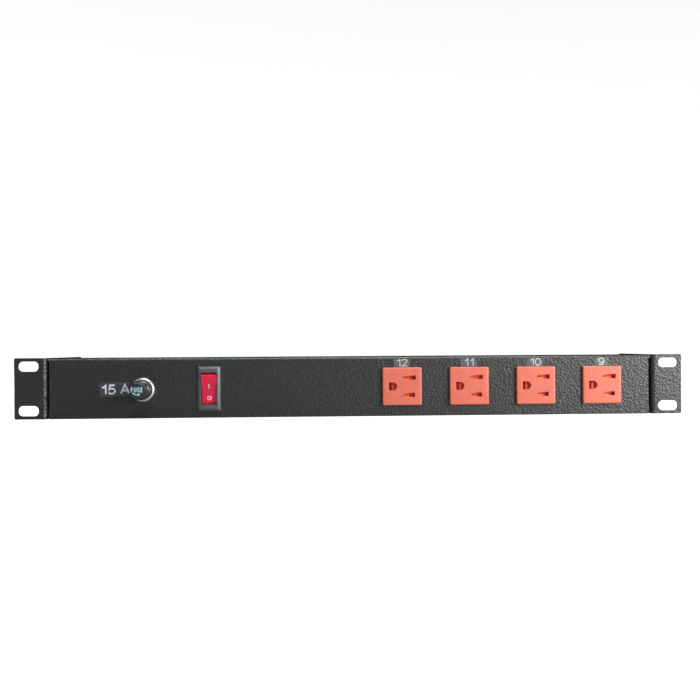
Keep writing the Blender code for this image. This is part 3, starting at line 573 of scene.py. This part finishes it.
COAT = powder_coat()
ORANGE = outlet_plastic()
BLACK = moulded("black_plastic", (0.012, 0.013, 0.014), (0.024, 0.026, 0.028), 0.34,
                wear=(0.05, 0.055, 0.06))
BEZEL = moulded("switch_bezel", (0.062, 0.069, 0.074), (0.086, 0.094, 0.100), 0.36)
CAP_END = moulded("fuse_cap_end", (0.008, 0.024, 0.034), (0.014, 0.034, 0.046), 0.30)
GREY = moulded("grey_nylon", (0.37, 0.40, 0.43), (0.45, 0.48, 0.51), 0.42, grain=1400.0, depth=0.02,
               wear=(0.58, 0.61, 0.64))
RUBBER = moulded("black_rubber", (0.006, 0.006, 0.006), (0.014, 0.014, 0.014), 0.7)
WHITE_PRINT = moulded("white_print", (0.56, 0.59, 0.63), (0.66, 0.69, 0.73), 0.5, depth=0.005)
GREY_PRINT = moulded("grey_print", (0.31, 0.33, 0.35), (0.39, 0.41, 0.44), 0.5, depth=0.005)
PALE_PRINT = moulded("pale_print", (0.36, 0.50, 0.54), (0.46, 0.58, 0.62), 0.5, depth=0.005)
PINK_PRINT = moulded("rocker_print", (0.80, 0.36, 0.42), (0.88, 0.46, 0.52), 0.45, depth=0.005)
NICKEL = plated("nickel", (0.70, 0.71, 0.70), (0.86, 0.87, 0.85), 0.40)
STEEL = plated("zinc_steel", (0.46, 0.48, 0.50), (0.62, 0.64, 0.66), 0.32)
BRASS = plated("brass", (0.72, 0.40, 0.12), (0.90, 0.56, 0.20), 0.30)
# Painted reflection: the contact metal is tinted much redder than brass, standing in for the red plastic
# reflected in the leaves.
CONTACT_RED_REFLECTION = plated("contact_metal_red_reflection", (0.70, 0.22, 0.09), (0.86, 0.31, 0.13), 0.45)
LENS = red_lens()
TAPE = clear_tape("clear_tape", (0.028, 0.030, 0.033), (0.062, 0.065, 0.069))
HAZY_TAPE = clear_tape("hazy_tape", (0.060, 0.064, 0.068), (0.105, 0.110, 0.115))
CLEAR = glass("fuse_glass", (0.93, 0.96, 0.96))
LAMP = glass("lamp_glass", (0.95, 0.70, 0.45))
NYLON = moulded("white_nylon", (0.68, 0.68, 0.62), (0.80, 0.80, 0.76), 0.45)
WIRE_BLACK = moulded("wire_black", (0.015, 0.015, 0.016), (0.030, 0.030, 0.032), 0.4)
WIRE_WHITE = moulded("wire_white", (0.66, 0.66, 0.63), (0.80, 0.80, 0.78), 0.4)


# ---------------------------------------------------------------- housing

def swept_sheet(name, profile, along, low, high, thickness):
    """Sheet metal: an open profile swept along x or z and made thick on its inner side."""
    bm = bmesh.new()
    rows = []
    for first, second in profile:
        if along == "x":
            ends = [(low, first, second), (high, first, second)]
        else:
            ends = [(first, second, low), (first, second, high)]
        rows.append([bm.verts.new(end) for end in ends])
    for (a, b), (c, d) in zip(rows, rows[1:]):
        bm.faces.new((a, b, d, c))
    obj = mesh_object(name, bm)
    solid = obj.modifiers.new("sheet", "SOLIDIFY")
    solid.thickness = thickness * MM
    solid.offset = -1.0
    solid.use_even_offset = True
    return bake(obj)


OUTLET_CUTOUT, SWITCH_CUTOUT = (13.1, 12.7), (6.9, 14.3)
FUSE_HOLE_RADIUS, GLAND_HOLE_RADIUS, SCREW_HOLE_RADIUS = 6.4, 9.6, 1.75
CUT_REACH, SCREW_CUT_REACH = 3.0, 9.0


def opening(face, node, half_x, half_y):
    hole = box((-half_x, -half_y, -CUT_REACH), (half_x, half_y, CUT_REACH))
    hole.matrix_world = face_frame(face, *centre_x_z(node))
    return hole


def round_opening(face, node, radius):
    hole = prism(radius, -CUT_REACH, CUT_REACH, 48)
    hole.matrix_world = face_frame(face, *centre_x_z(node))
    return hole


def outlet_face(number):
    return "rear" if number <= REAR_OUTLETS else "front"


def screw_clearance(node):
    """A hole along X through everything that an end screw passes."""
    low, high = low_high(node)
    hole = prism(SCREW_HOLE_RADIUS, -SCREW_CUT_REACH, SCREW_CUT_REACH, 24)
    hole.matrix_world = moved(*(low + high) / 2) @ Matrix.Rotation(math.pi / 2, 4, "Y")
    return hole


def housing():
    top, deep = BODY_TOP - SHEET_BEND, REAR_Y - SHEET_BEND
    profile = [(FRONT_Y, BODY_LOW.z)]
    profile += arc((-deep, top), SHEET_BEND, 180, 90, 10)
    profile += arc((deep, top), SHEET_BEND, 90, 0, 10)
    profile.append((REAR_Y, BODY_LOW.z))
    channel = swept_sheet("channel", profile, "x", BODY_LOW.x, BODY_HIGH.x, SHEET)
    tab_low, tab_top, tab_half, tab_in, tab_out = 27.0, BODY_TOP - SHEET / 2, 30.0, 216.8, 218.0
    bend_room = 1.3
    for side in (-1, 1):
        inner, outer = sorted((side * tab_in, side * tab_out))
        join(channel, box((inner, -tab_half, tab_low), (outer, tab_half, tab_top)))
        near, far = sorted((side * (BODY_HIGH.x - bend_room), side * (BODY_HIGH.x + 1.0)))
        cut(channel, box((near, FRONT_Y - 1.0, BODY_LOW.z - 1.0), (far, FRONT_Y + SHEET + 0.2, top)))
    for number in range(1, OUTLET_COUNT + 1):
        cut(channel, opening(outlet_face(number), f"outlet_{number}", *OUTLET_CUTOUT))
    cut(channel, opening("front", "switch_frame", *SWITCH_CUTOUT))
    cut(channel, round_opening("front", "fuse_ring_nut", FUSE_HOLE_RADIUS))
    cut(channel, round_opening("rear", "gland_gasket", GLAND_HOLE_RADIUS))
    for side in ("left", "right"):
        cut(channel, screw_clearance(f"end_screw_{side}_upper"))
    soften(channel, 0.15)
    put(channel, "housing_shell", Matrix.Identity(4), COAT, nodes=["housing_channel"])


def ear(side):
    """The folded end bracket with its rack ear: round corners and two long slots."""
    name = "right" if side > 0 else "left"
    low, high = low_high(f"ear_bracket_{name}")
    thickness, bend, corner = 1.5, 3.0, 1.2
    end_x, out_x = sorted((abs(low.x), abs(high.x)))
    curve = arc((end_x + bend, low.y + bend), bend, 180, 270, 14)
    profile = [(side * x, y) for x, y in [(end_x, high.y)] + curve + [(out_x, low.y)]]
    if side > 0:
        profile.reverse()
    bracket = swept_sheet("bracket", profile, "z", low.z, high.z, thickness)

    beyond = 2.0
    left, right, below, above = end_x - beyond, out_x + beyond, low.z - beyond, high.z + beyond
    corner_x = out_x - corner
    kept = [(left, below), (corner_x, below)]
    kept += arc((corner_x, low.z + corner), corner, -90, 0, 6) + [(right, low.z + corner)]
    kept += [(right, high.z - corner)] + arc((corner_x, high.z - corner), corner, 0, 90, 6)
    kept += [(corner_x, above), (left, above)]
    ahead = 10.0
    behind = high.y - FRONT_Y + ahead
    outline = [(side * x, z) for x, z in kept]
    combine(bracket, [plate("kept", [outline], -behind, ahead, FRONT_PLANE)], "INTERSECT")

    middle, half_pitch = (low.z + high.z) / 2, 31.75 / 2
    slot_x, slot_half_x, slot_half_z, slot_corner = 231.3, 7.1, 3.6, 3.1
    for z in (middle - half_pitch, middle + half_pitch):
        outline = rounded_box(slot_half_x, slot_half_z, slot_corner, 8, (side * slot_x, z))
        cut(bracket, plate("slot", [outline], -4.0, 4.0, FRONT_PLANE))
    for place in ("upper", "lower"):
        cut(bracket, screw_clearance(f"end_screw_{name}_{place}"))
    soften(bracket, 0.2)
    put(bracket, f"rack_ear_{name}", Matrix.Identity(4), COAT,
        nodes=[f"ear_bracket_{name}"])


def pan_head(node, axis):
    """A cross-recessed pan-head screw in place of its CAD node, along the X or Z axis."""
    low, high = low_high(node)
    middle = (low + high) / 2
    radius, rise = 2.8, 1.9
    length = (high - low).x if axis == "x" else (high - low).z
    dome = [(radius * math.sin(math.radians(a)), 0.5 + (rise - 0.5) * math.cos(math.radians(a)))
            for a in range(0, 91, 15)]
    profile = dome + [(radius, 0.0), (1.4, 0.0), (1.4, rise - length), (0.0, rise - length)]
    screw = turned("screw", profile, 40)
    for turn in (0.0, math.pi / 2):
        blade = box((-0.42, -1.75, 0.75), (0.42, 1.75, 3.0))
        blade.data.transform(Matrix.Rotation(turn, 4, "Z"))
        cut(screw, blade)
    if axis == "x":
        side = 1 if middle.x > 0 else -1
        seat = side * (max(abs(low.x), abs(high.x)) - rise)
        place = moved(seat, middle.y, middle.z) @ Matrix.Rotation(math.radians(90 * side), 4, "Y")
    else:
        place = moved(middle.x, middle.y, high.z - rise)
    soften(screw, 0.08)
    put(screw, f"{node}_head", place, STEEL, nodes=[node])


# ---------------------------------------------------------------- outlets

GROUND_X, GROUND_RADIUS, GROUND_FLAT_X = -6.7, 2.9, -9.7
BLADE_X, SLOT_HALF_HEIGHT = 5.3, 1.2
SLOTS = ((6.35, 4.5), (-6.35, 3.8))
SLOT_FLOOR = -1.6
OUTLET_LIFT = 0.7
FLANGE_HALF_X, FLANGE_HALF_Y = 14.2, 13.7
OUTLET_BODY_HALF_X, OUTLET_BODY_HALF_Y = 12.8, 12.4


def ground_hole(grow=0.0):
    radius = GROUND_RADIUS + grow
    flat = GROUND_FLAT_X - grow
    return [(flat, radius), (flat, -radius)] + arc((GROUND_X, 0.0), radius, -90, 90, 16)


def blade_slot(y, half_length, grow=0.0):
    """A slot's outline, a little wider at its right end."""
    left, right = BLADE_X - half_length - grow * 0.4, BLADE_X + half_length + grow * 0.6
    narrow, wide = SLOT_HALF_HEIGHT - 0.15 + grow * 0.3, SLOT_HALF_HEIGHT + 0.15 + grow
    return [(left, y - narrow), (right, y - wide), (right, y + wide), (left, y + narrow)]


def outlet_prototype():
    """A snap-in outlet: flange with a sloped rim, three holes, and the box behind the panel."""
    half_x, half_y, corner = OUTLET_BODY_HALF_X, OUTLET_BODY_HALF_Y, 0.8
    levels = [(0.0, 0.02 - OUTLET_LIFT), (0.0, 1.15), (0.10, 1.42), (0.38, 1.64), (0.85, 1.76),
              (1.25, 1.80)]
    rim = [(rounded_box(FLANGE_HALF_X - inset, FLANGE_HALF_Y - inset, corner, 4), z)
           for inset, z in levels]
    outlet = stacked("outlet", rim)
    block = stacked("block", [(rounded_box(half_x, half_y, corner, 4), z) for z in (-20.0, 1.0)])
    cut(block, plate("cavity", [rounded_box(half_x - 1.6, half_y - 1.6, 0.6, 3)], -22.0, -5.0))
    join(outlet, block)
    for y, half_length in SLOTS:
        cut(outlet, plate("slot", [blade_slot(y, half_length)], SLOT_FLOOR, 4.0))
        wide, narrow = blade_slot(y, half_length, 0.45), blade_slot(y, half_length)
        cut(outlet, stacked("lead_in", [(narrow, 0.95), (wide, 1.85), (wide, 4.0)]))
    cut(outlet, plate("ground", [ground_hole()], -1.2, 4.0))
    wide = ground_hole(0.3)
    cut(outlet, stacked("ground_lead_in", [(ground_hole(), 1.3), (wide, 1.85), (wide, 4.0)]))
    cut(outlet, box((GROUND_FLAT_X, -GROUND_RADIUS, -4.2), (GROUND_X - 0.5, GROUND_RADIUS, 0.0)))
    wing = [(half_y - 0.4, -2.2), (half_y + 1.1, -2.2), (half_y - 0.4, -7.9)]
    for side in (1, -1):
        join(outlet, plate("wing", [[(side * y, z) for y, z in wing]], -4.0, 4.0, SIDE_PLANE))
    return smooth(outlet, 40)


def contact_prototype():
    """Two flared brass leaves in each blade slot."""
    leaves = []
    for y, half_length in SLOTS:
        near = BLADE_X - half_length + 0.15
        for side in (-1, 1):
            leaf = [(0.10, SLOT_FLOOR + 0.05), (0.10, -0.4), (0.25, 0.15), (0.60, 0.45), (0.98, 0.50),
                    (1.00, 0.30), (0.75, 0.1), (0.55, -0.5), (0.50, SLOT_FLOOR + 0.05)]
            outline = [(y + side * across, z) for across, z in leaf]
            leaves.append(plate("leaf", [outline], near, BLADE_X - 0.3, SIDE_PLANE))
    return smooth(merge_meshes("contacts", leaves), 50)


def outlets():
    outlet, contacts = outlet_prototype(), contact_prototype()
    for number in range(1, OUTLET_COUNT + 1):
        node = f"outlet_{number}"
        place = face_frame(outlet_face(number), *centre_x_z(node), OUTLET_LIFT)
        body = link(bpy.data.objects.new("body", outlet.data))
        put(body, f"outlet_body_{number}", place, ORANGE, nodes=[node])
        metal = link(bpy.data.objects.new("metal", contacts.data))
        put(metal, f"outlet_contacts_{number}", place, CONTACT_RED_REFLECTION)
    bpy.data.objects.remove(outlet, do_unlink=True)
    bpy.data.objects.remove(contacts, do_unlink=True)


# ---------------------------------------------------------------- labels

TAPE_THICKNESS = 0.06


def label(name, face, x, z, prints, half_x, half_y, tilt_deg=0.0, tape_mat=TAPE,
          print_mat=WHITE_PRINT):
    """Letters on a piece of clear tape, placed on a face."""
    place = face_frame(face, x, z) @ Matrix.Rotation(math.radians(tilt_deg), 4, "Z")
    tape = plate("tape", [rounded_box(half_x, half_y, 0.4, 3)], 0.02, TAPE_THICKNESS)
    put(smooth(tape), f"{name}_tape", place, tape_mat)
    letters = merge_meshes("letters", prints)
    letters.data.transform(moved(z=TAPE_THICKNESS + 0.005))
    put(letters, f"{name}_print", place, print_mat)


def at(obj, x, y):
    obj.matrix_world = moved(x, y)
    return obj


def number_label(number):
    """An outlet's number on hazy tape, from its flange to just over the sheet's bend."""
    digit_height, stroke, squeeze = 5.7, 0.85, 1.50
    one_digit_half, two_digit_half, over_bend = 4.6, 5.9, 0.3
    node, face = f"outlet_{number}", outlet_face(number)
    low_z, high_z = low_high(node)[1].z, BODY_TOP - SHEET_BEND + over_bend
    half_x = one_digit_half if number < 10 else two_digit_half
    half_y = (high_z - low_z) / 2
    digits = at(lettering("digits", str(number), digit_height, stroke, squeeze),
                0.0, half_y - digit_height / 2)
    label(f"number_{number}", face, centre_x_z(node)[0], (high_z + low_z) / 2, [digits], half_x, half_y,
          tape_mat=HAZY_TAPE, print_mat=GREY_PRINT if face == "front" else WHITE_PRINT)


def labels():
    for number in range(1, OUTLET_COUNT + 1):
        number_label(number)
    fuse_x, fuse_z = centre_x_z("fuse_ring_nut")
    left_of_fuse, above_fuse, tilt_deg = 19.6, 0.4, 2.0
    rating = [at(lettering("rating", "15 A", 7.3, 1.2, 1.42), 0.2, 0.0)]
    label("fuse_rating", "front", fuse_x - left_of_fuse, fuse_z + above_fuse, rating, 10.9, 5.0, tilt_deg)
    gland_x, below_top = centre_x_z("gland_gasket")[0], 7.2
    supply = [at(lettering("kind", "AC", 3.7, 0.6), 0.0, 2.7),
              at(lettering("volts", "110-120 V", 3.9, 0.6), 0.0, -2.4)]
    label("supply_rating", "rear", gland_x, BODY_TOP - below_top, supply, 13.8, 5.35)


# ---------------------------------------------------------------- fuse holder

def fuse_holder():
    place = face_frame("front", *centre_x_z("fuse_ring_nut"))
    ring_profile = [(6.4, 1.5), (6.5, 2.0), (6.8, 2.4), (7.2, 2.6), (7.6, 2.6), (8.0, 2.4), (8.35, 2.0),
                    (8.6, 1.4), (8.7, 0.8), (8.7, 0.3), (8.5, 0.05), (6.4, 0.05)]
    ring = turned("ring", ring_profile, 96, closed=True)
    put(smooth(ring, 28), "fuse_bezel", place, NICKEL, nodes=["fuse_ring_nut"])

    sleeve, bore, bore_top = 4.5, 3.6, 12.0
    profile = [(0.0, 16.25), (4.95, 16.25), (5.0, 16.6), (5.2, 16.6), (5.4, 16.35), (5.5, 15.9)]
    ridges, ridge_top, ridge_pitch = 4, 15.5, 1.55
    for index in range(ridges):
        top = ridge_top - ridge_pitch * index
        radius = 5.55 + 0.12 * index
        valley = radius - 0.2
        profile += [(radius, top), (radius + 0.05, top - 1.0), (valley, top - 1.15), (valley, top - 1.4)]
    profile += [(6.05, 9.2), (6.8, 8.6), (7.0, 8.2), (7.0, 4.3), (6.8, 3.9), (sleeve, 3.9),
                (sleeve, -3.0), (bore, -3.0), (bore, bore_top), (0.0, bore_top)]
    cap = turned("cap", profile, 96)
    for place_deg in range(0, 360, 15):
        groove = prism(0.35, 3.0, 8.0, 8, centre=(7.15, 0.0))
        groove.data.transform(Matrix.Rotation(math.radians(place_deg), 4, "Z"))
        cut(cap, groove)
    put(smooth(cap, 30), "fuse_knob", place, BLACK, "fuse_cap", ["fuse_cap"])

    disc_top = 16.45
    disc = turned("disc", [(0.0, disc_top), (4.85, disc_top), (4.92, 16.3), (0.0, 16.3)], 64)
    put(smooth(disc, 30), "fuse_knob_disc", place, CAP_END, "fuse_cap")

    word = at(lettering("word", "FUSE", 3.5, 0.62, 0.76), 0.0, 0.75)
    middle, radius, half, start, end = (0.0, 0.9), 3.7, 0.34, 215, 285
    shaft = arc(middle, radius + half, start, end, 10)
    head_half, head_turn = 1.0, 24
    corners = ((head_half, end), (0.0, end + head_turn), (-head_half, end))
    head = [arc(middle, radius + out, angle, angle, 1)[0] for out, angle in corners]
    arrow = plate("arrow", [shaft + head + arc(middle, radius - half, end, start, 10)], 0.0, 0.03)
    prints = merge_meshes("prints", [word, arrow])
    prints.data.transform(moved(z=disc_top + 0.005))
    put(prints, "fuse_knob_print", place, PALE_PRINT, "fuse_cap")


# ---------------------------------------------------------------- switch

def switch():
    low, high = low_high("switch_frame")
    half_x, half_y = (high.x - low.x) / 2, (high.z - low.z) / 2
    place = face_frame("front", *centre_x_z("switch_frame"))
    levels = [(0.0, 0.02), (0.0, 0.60), (0.15, 0.85), (1.45, 1.90), (1.75, 2.0)]
    rim = [(rounded_box(half_x - inset, half_y - inset, 0.9, 5), z) for inset, z in levels]
    bezel = stacked("bezel", rim)
    join(bezel, plate("body", [rounded_box(6.6, 14.0, 0.6, 3)], -19.0, 0.6))
    cut(bezel, plate("well", [rounded_box(5.75, 11.5, 0.5, 4)], -17.4, 4.0))
    for node in ("switch_terminal_in", "switch_terminal_out", "switch_terminal_lamp"):
        y = centre_x_z(node)[1] - centre_x_z("switch_frame")[1]
        cut(bezel, box((-3.5, y - 0.75, -20.0), (3.5, y + 0.75, -17.0)))
    put(smooth(bezel, 32), "switch_bezel", place, BEZEL, nodes=["switch_frame"])

    pivot_depth, rest_tilt, dish, end_y = -2.5, math.radians(12.0), 0.9, 10.6
    pivot = face_frame("front", *centre_x_z("switch_frame"), pivot_depth)
    pivot = pivot @ Matrix.Rotation(rest_tilt, 4, "X")
    across = [end_y * step / 10 for step in range(-10, 11)]
    top = [(y, 3.0 + dish * (abs(y) / end_y) ** 1.7) for y in across]
    outline = [(1.3, -6.6), (3.0, -2.4), (10.4, -1.6), (11.2, 0.0)] + top[::-1]
    outline += [(-11.2, 0.0), (-10.4, -1.6), (-3.0, -2.4), (-1.3, -6.6)]
    rocker = plate("rocker", [outline], -5.45, 5.45, SIDE_PLANE)
    cut(rocker, box((-2.2, 3.6, -6.0), (2.2, 9.2, 2.2)))
    soften(rocker, 0.5, 3, 40)
    put(rocker, "rocker_lens", pivot, LENS, "switch_rocker", ["switch_rocker"])

    slope = math.atan2(dish, end_y)
    bar = plate("bar", [rounded_box(0.38, 1.7, 0.2, 3)], 0.0, 0.04)
    bar.matrix_world = moved(0.0, 2.4, 3.09) @ Matrix.Rotation(slope * 0.5, 4, "X")
    ring = turned("ring", [(0.85, 0.04), (1.7, 0.04), (1.7, 0.0), (0.85, 0.0)], 40, closed=True)
    ring.matrix_world = moved(0.0, -6.3, 3.40) @ Matrix.Rotation(-slope * 1.2, 4, "X")
    prints = merge_meshes("prints", [bar, ring])
    put(prints, "rocker_print", pivot, PINK_PRINT, "switch_rocker")


# ---------------------------------------------------------------- gland

def gland():
    place = face_frame("rear", *centre_x_z("gland_gasket"))

    body_profile = [(0.0, 15.0), (8.2, 15.0), (8.6, 14.6), (8.6, 4.0), (9.3, 4.0), (9.3, -9.0), (0.0, -9.0)]
    body = turned("base", body_profile, 64)
    base = hexagon(22.0, 1.8, 6.3, 38.0)
    trim = [(0.0, 6.6), (11.4, 6.6), (13.4, 5.3), (13.4, 2.6), (12.4, 1.5), (0.0, 1.5)]
    chamfer = turned("chamfer", trim, 64)
    combine(base, [chamfer], "INTERSECT")
    join(body, base)
    bore = [(0.0, 17.0), (6.6, 17.0), (6.6, 6.0), (6.0, 6.0), (6.0, -11.0), (0.0, -11.0)]
    cut(body, turned("bore", bore, 64))
    soften(body, 0.25, 3, 25)
    put(body, "gland_base", place, GREY, nodes=["gland_body"])

    washer_profile = [(9.6, 1.6), (11.3, 1.6), (11.6, 1.2), (11.6, 0.4), (11.4, 0.05), (9.6, 0.05)]
    washer = turned("washer", washer_profile, 64, closed=True)
    put(smooth(washer), "gland_washer", place, RUBBER, nodes=["gland_gasket"])

    shoulder, crown = 17.0, 11.3
    dome_profile = [(0.0, 29.5), (5.9, 29.5), (6.5, 29.3), (7.1, 28.8)]
    for angle in (math.radians(degrees) for degrees in range(15, 91, 15)):
        dome_profile.append((7.1 + 3.5 * math.sin(angle), shoulder + crown * math.cos(angle)))
    dome = turned("dome", dome_profile + [(10.6, 8.5), (0.0, 8.5)], 72)
    nut = hexagon(21.6, 8.3, 18.6, 0.0)
    trim = [(0.0, 19.5), (10.3, 19.2), (13.0, 16.2), (13.0, 9.4), (11.6, 8.0), (0.0, 8.0)]
    chamfer = turned("chamfer", trim, 72)
    combine(nut, [chamfer], "INTERSECT")
    join(dome, nut)
    bore = [(0.0, 31.0), (5.3, 31.0), (4.9, 28.9), (4.9, 28.0), (5.6, 27.3), (9.0, 19.8), (9.0, 6.0),
            (0.0, 6.0)]
    cut(dome, turned("bore", bore, 72))
    soften(dome, 0.3, 3, 22)
    put(dome, "gland_dome", place, GREY, "gland_dome_nut", ["gland_dome_nut"])

    seal_profile = [(3.9, 26.2), (4.3, 26.5), (5.0, 26.5), (7.8, 19.4), (7.8, 17.2), (6.2, 16.8),
                    (6.2, 9.0), (3.9, 9.0)]
    seal = turned("seal", seal_profile, 64, closed=True)
    put(smooth(seal, 30), "gland_seal_ring", place, RUBBER, "gland_seal", ["gland_seal"])


# ---------------------------------------------------------------- carried-over CAD nodes

CARRIED = (
    (COAT, ["bottom_cover"]),
    (ORANGE, [f"outlet_back_{number}" for number in range(1, OUTLET_COUNT + 1)]),
    (BLACK, ["fuse_holder"]),
    (NICKEL, ["fuse_end_cap_front", "fuse_end_cap_rear"]),
    (CLEAR, ["fuse_glass"]),
    (LAMP, ["switch_lamp"]),
    (STEEL, ["fuse_spring"]),
    (BRASS, ["line_bus_bar", "neutral_bus_bar", "ground_bus_bar", "switch_contact_lever",
             "switch_terminal_in", "switch_terminal_out", "switch_terminal_lamp"]),
    (GREY, ["gland_lock_nut"]),
    (NYLON, ["terminal_block"]),
    (WIRE_BLACK, ["wire_block_to_fuse", "wire_fuse_to_switch", "wire_switch_to_line_bar"]),
    (WIRE_WHITE, ["wire_lamp_to_neutral_bar"]),
)


def carried_over():
    for mat, nodes in CARRIED:
        for node in nodes:
            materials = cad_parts[node].data.materials
            materials.clear()
            materials.append(mat)


# ---------------------------------------------------------------- stage

def backdrop():
    """A pale round floor that curves up all around, dimmer in reflections than to the eye."""
    across, rise, radius = 3.4, 2.6, 0.6
    profile = [(0.0, 0.0)] + arc((across - radius, radius), radius, -90, 0, 16) + [(across, rise)]
    floor = turned("backdrop", [(x / MM, z / MM) for x, z in profile], 96)
    floor.data.shade_smooth()
    floor.location.z = -0.0004
    n = Nodes("pale_floor", Roughness=0.8, Specular_IOR_Level=0.2, Emission_Color=(1.0, 1.0, 1.0, 1.0))
    to_camera = n.node("ShaderNodeLightPath").outputs["Is Camera Ray"]
    seen = n.ramp(n.noise(6.0), 0.3, 0.7, (0.56, 0.56, 0.56), (0.58, 0.58, 0.58))
    n.join(n.mixed(to_camera, (0.32, 0.32, 0.32), seen), "Base Color")
    n.join(n.spread(to_camera, 0.0, 0.84), "Emission Strength")
    floor.data.materials.append(n.mat)


def area_light(name, place, target, size, watts, colour):
    data = bpy.data.lights.new(name, "AREA")
    data.shape = "RECTANGLE"
    data.size, data.size_y = size
    data.energy = watts
    data.color = colour
    lamp = link(bpy.data.objects.new(name, data))
    lamp.location = place
    lamp.rotation_euler = (Vector(target) - Vector(place)).to_track_quat("-Z", "Y").to_euler()


# Name, place, target, size in metres, watts and colour.
LAMPS = (
    ("key", (0.66, -0.63, 0.24), (0.14, 0.0, 0.0), (0.34, 0.34), 9.5, (1.0, 0.99, 0.97)),
    ("window", (0.95, -0.35, 0.22), (0.1, 0.0, 0.0), (0.25, 0.4), 4.5, (0.98, 0.99, 1.0)),
    ("fill", (-0.1, -0.95, 1.25), (0.0, 0.0, 0.0), (1.0, 0.6), 7.0, (1.0, 1.0, 1.0)),
    ("top", (0.2, -0.1, 1.6), (0.0, 0.0, 0.0), (1.4, 0.4), 24.0, (1.0, 1.0, 1.0)),
    ("behind", (0.0, 0.9, 1.6), (0.0, 1.0, 0.0), (2.4, 0.8), 22.0, (1.0, 1.0, 1.0)),
    ("rear", (-0.35, 1.0, 0.75), (0.0, 0.04, 0.02), (0.9, 0.5), 9.0, (1.0, 1.0, 1.0)),
)


def lights():
    world = bpy.data.worlds.new("studio")
    world.use_nodes = True
    tree = world.node_tree
    path = tree.nodes.new("ShaderNodeLightPath")
    strength = tree.nodes.new("ShaderNodeMapRange")
    strength.inputs["To Min"].default_value = 0.10
    strength.inputs["To Max"].default_value = 1.0
    tree.links.new(path.outputs["Is Camera Ray"], strength.inputs["Value"])
    tree.links.new(strength.outputs["Result"], tree.nodes["Background"].inputs["Strength"])
    tree.nodes["Background"].inputs["Color"].default_value = (0.94, 0.97, 1.0, 1.0)
    bpy.context.scene.world = world
    for values in LAMPS:
        area_light(*values)


def camera():
    """Before the housing and just above it, turned and rolled a little, strip below the middle."""
    ear_low, ear_high = low_high("ear_bracket_left")
    place = Vector((2.2, FRONT_Y - 612.0, 50.0))
    middle = Vector((0.0, FRONT_Y, (ear_low.z + ear_high.z) / 2))
    turn, roll, zoom = math.radians(2.7), math.radians(0.34), 1.2026
    right_share, down_share = 0.0055, 0.0517
    data = bpy.data.cameras.new("camera")
    data.sensor_width = 36.0
    data.lens = data.sensor_width * zoom
    data.clip_start, data.clip_end = 0.01, 20.0
    obj = link(bpy.data.objects.new("camera", data))
    level = Matrix.Translation(place * MM) @ Matrix.Rotation(-turn, 4, "Z")
    obj.matrix_world = level @ Matrix.Rotation(math.pi / 2, 4, "X") @ Matrix.Rotation(-roll, 4, "Z")
    seen = obj.matrix_world.inverted() @ (middle * MM)
    data.shift_x = zoom * seen.x / -seen.z - right_share
    data.shift_y = zoom * seen.y / -seen.z + down_share
    bpy.context.scene.camera = obj
    bpy.context.scene.view_settings.view_transform = "Standard"


housing()
for end in (-1, 1):
    ear(end)
for end in ("left", "right"):
    for height in ("upper", "lower"):
        pan_head(f"end_screw_{end}_{height}", "x")
pan_head("ground_screw", "z")
outlets()
labels()
fuse_holder()
switch()
gland()
carried_over()
backdrop()
lights()
camera()
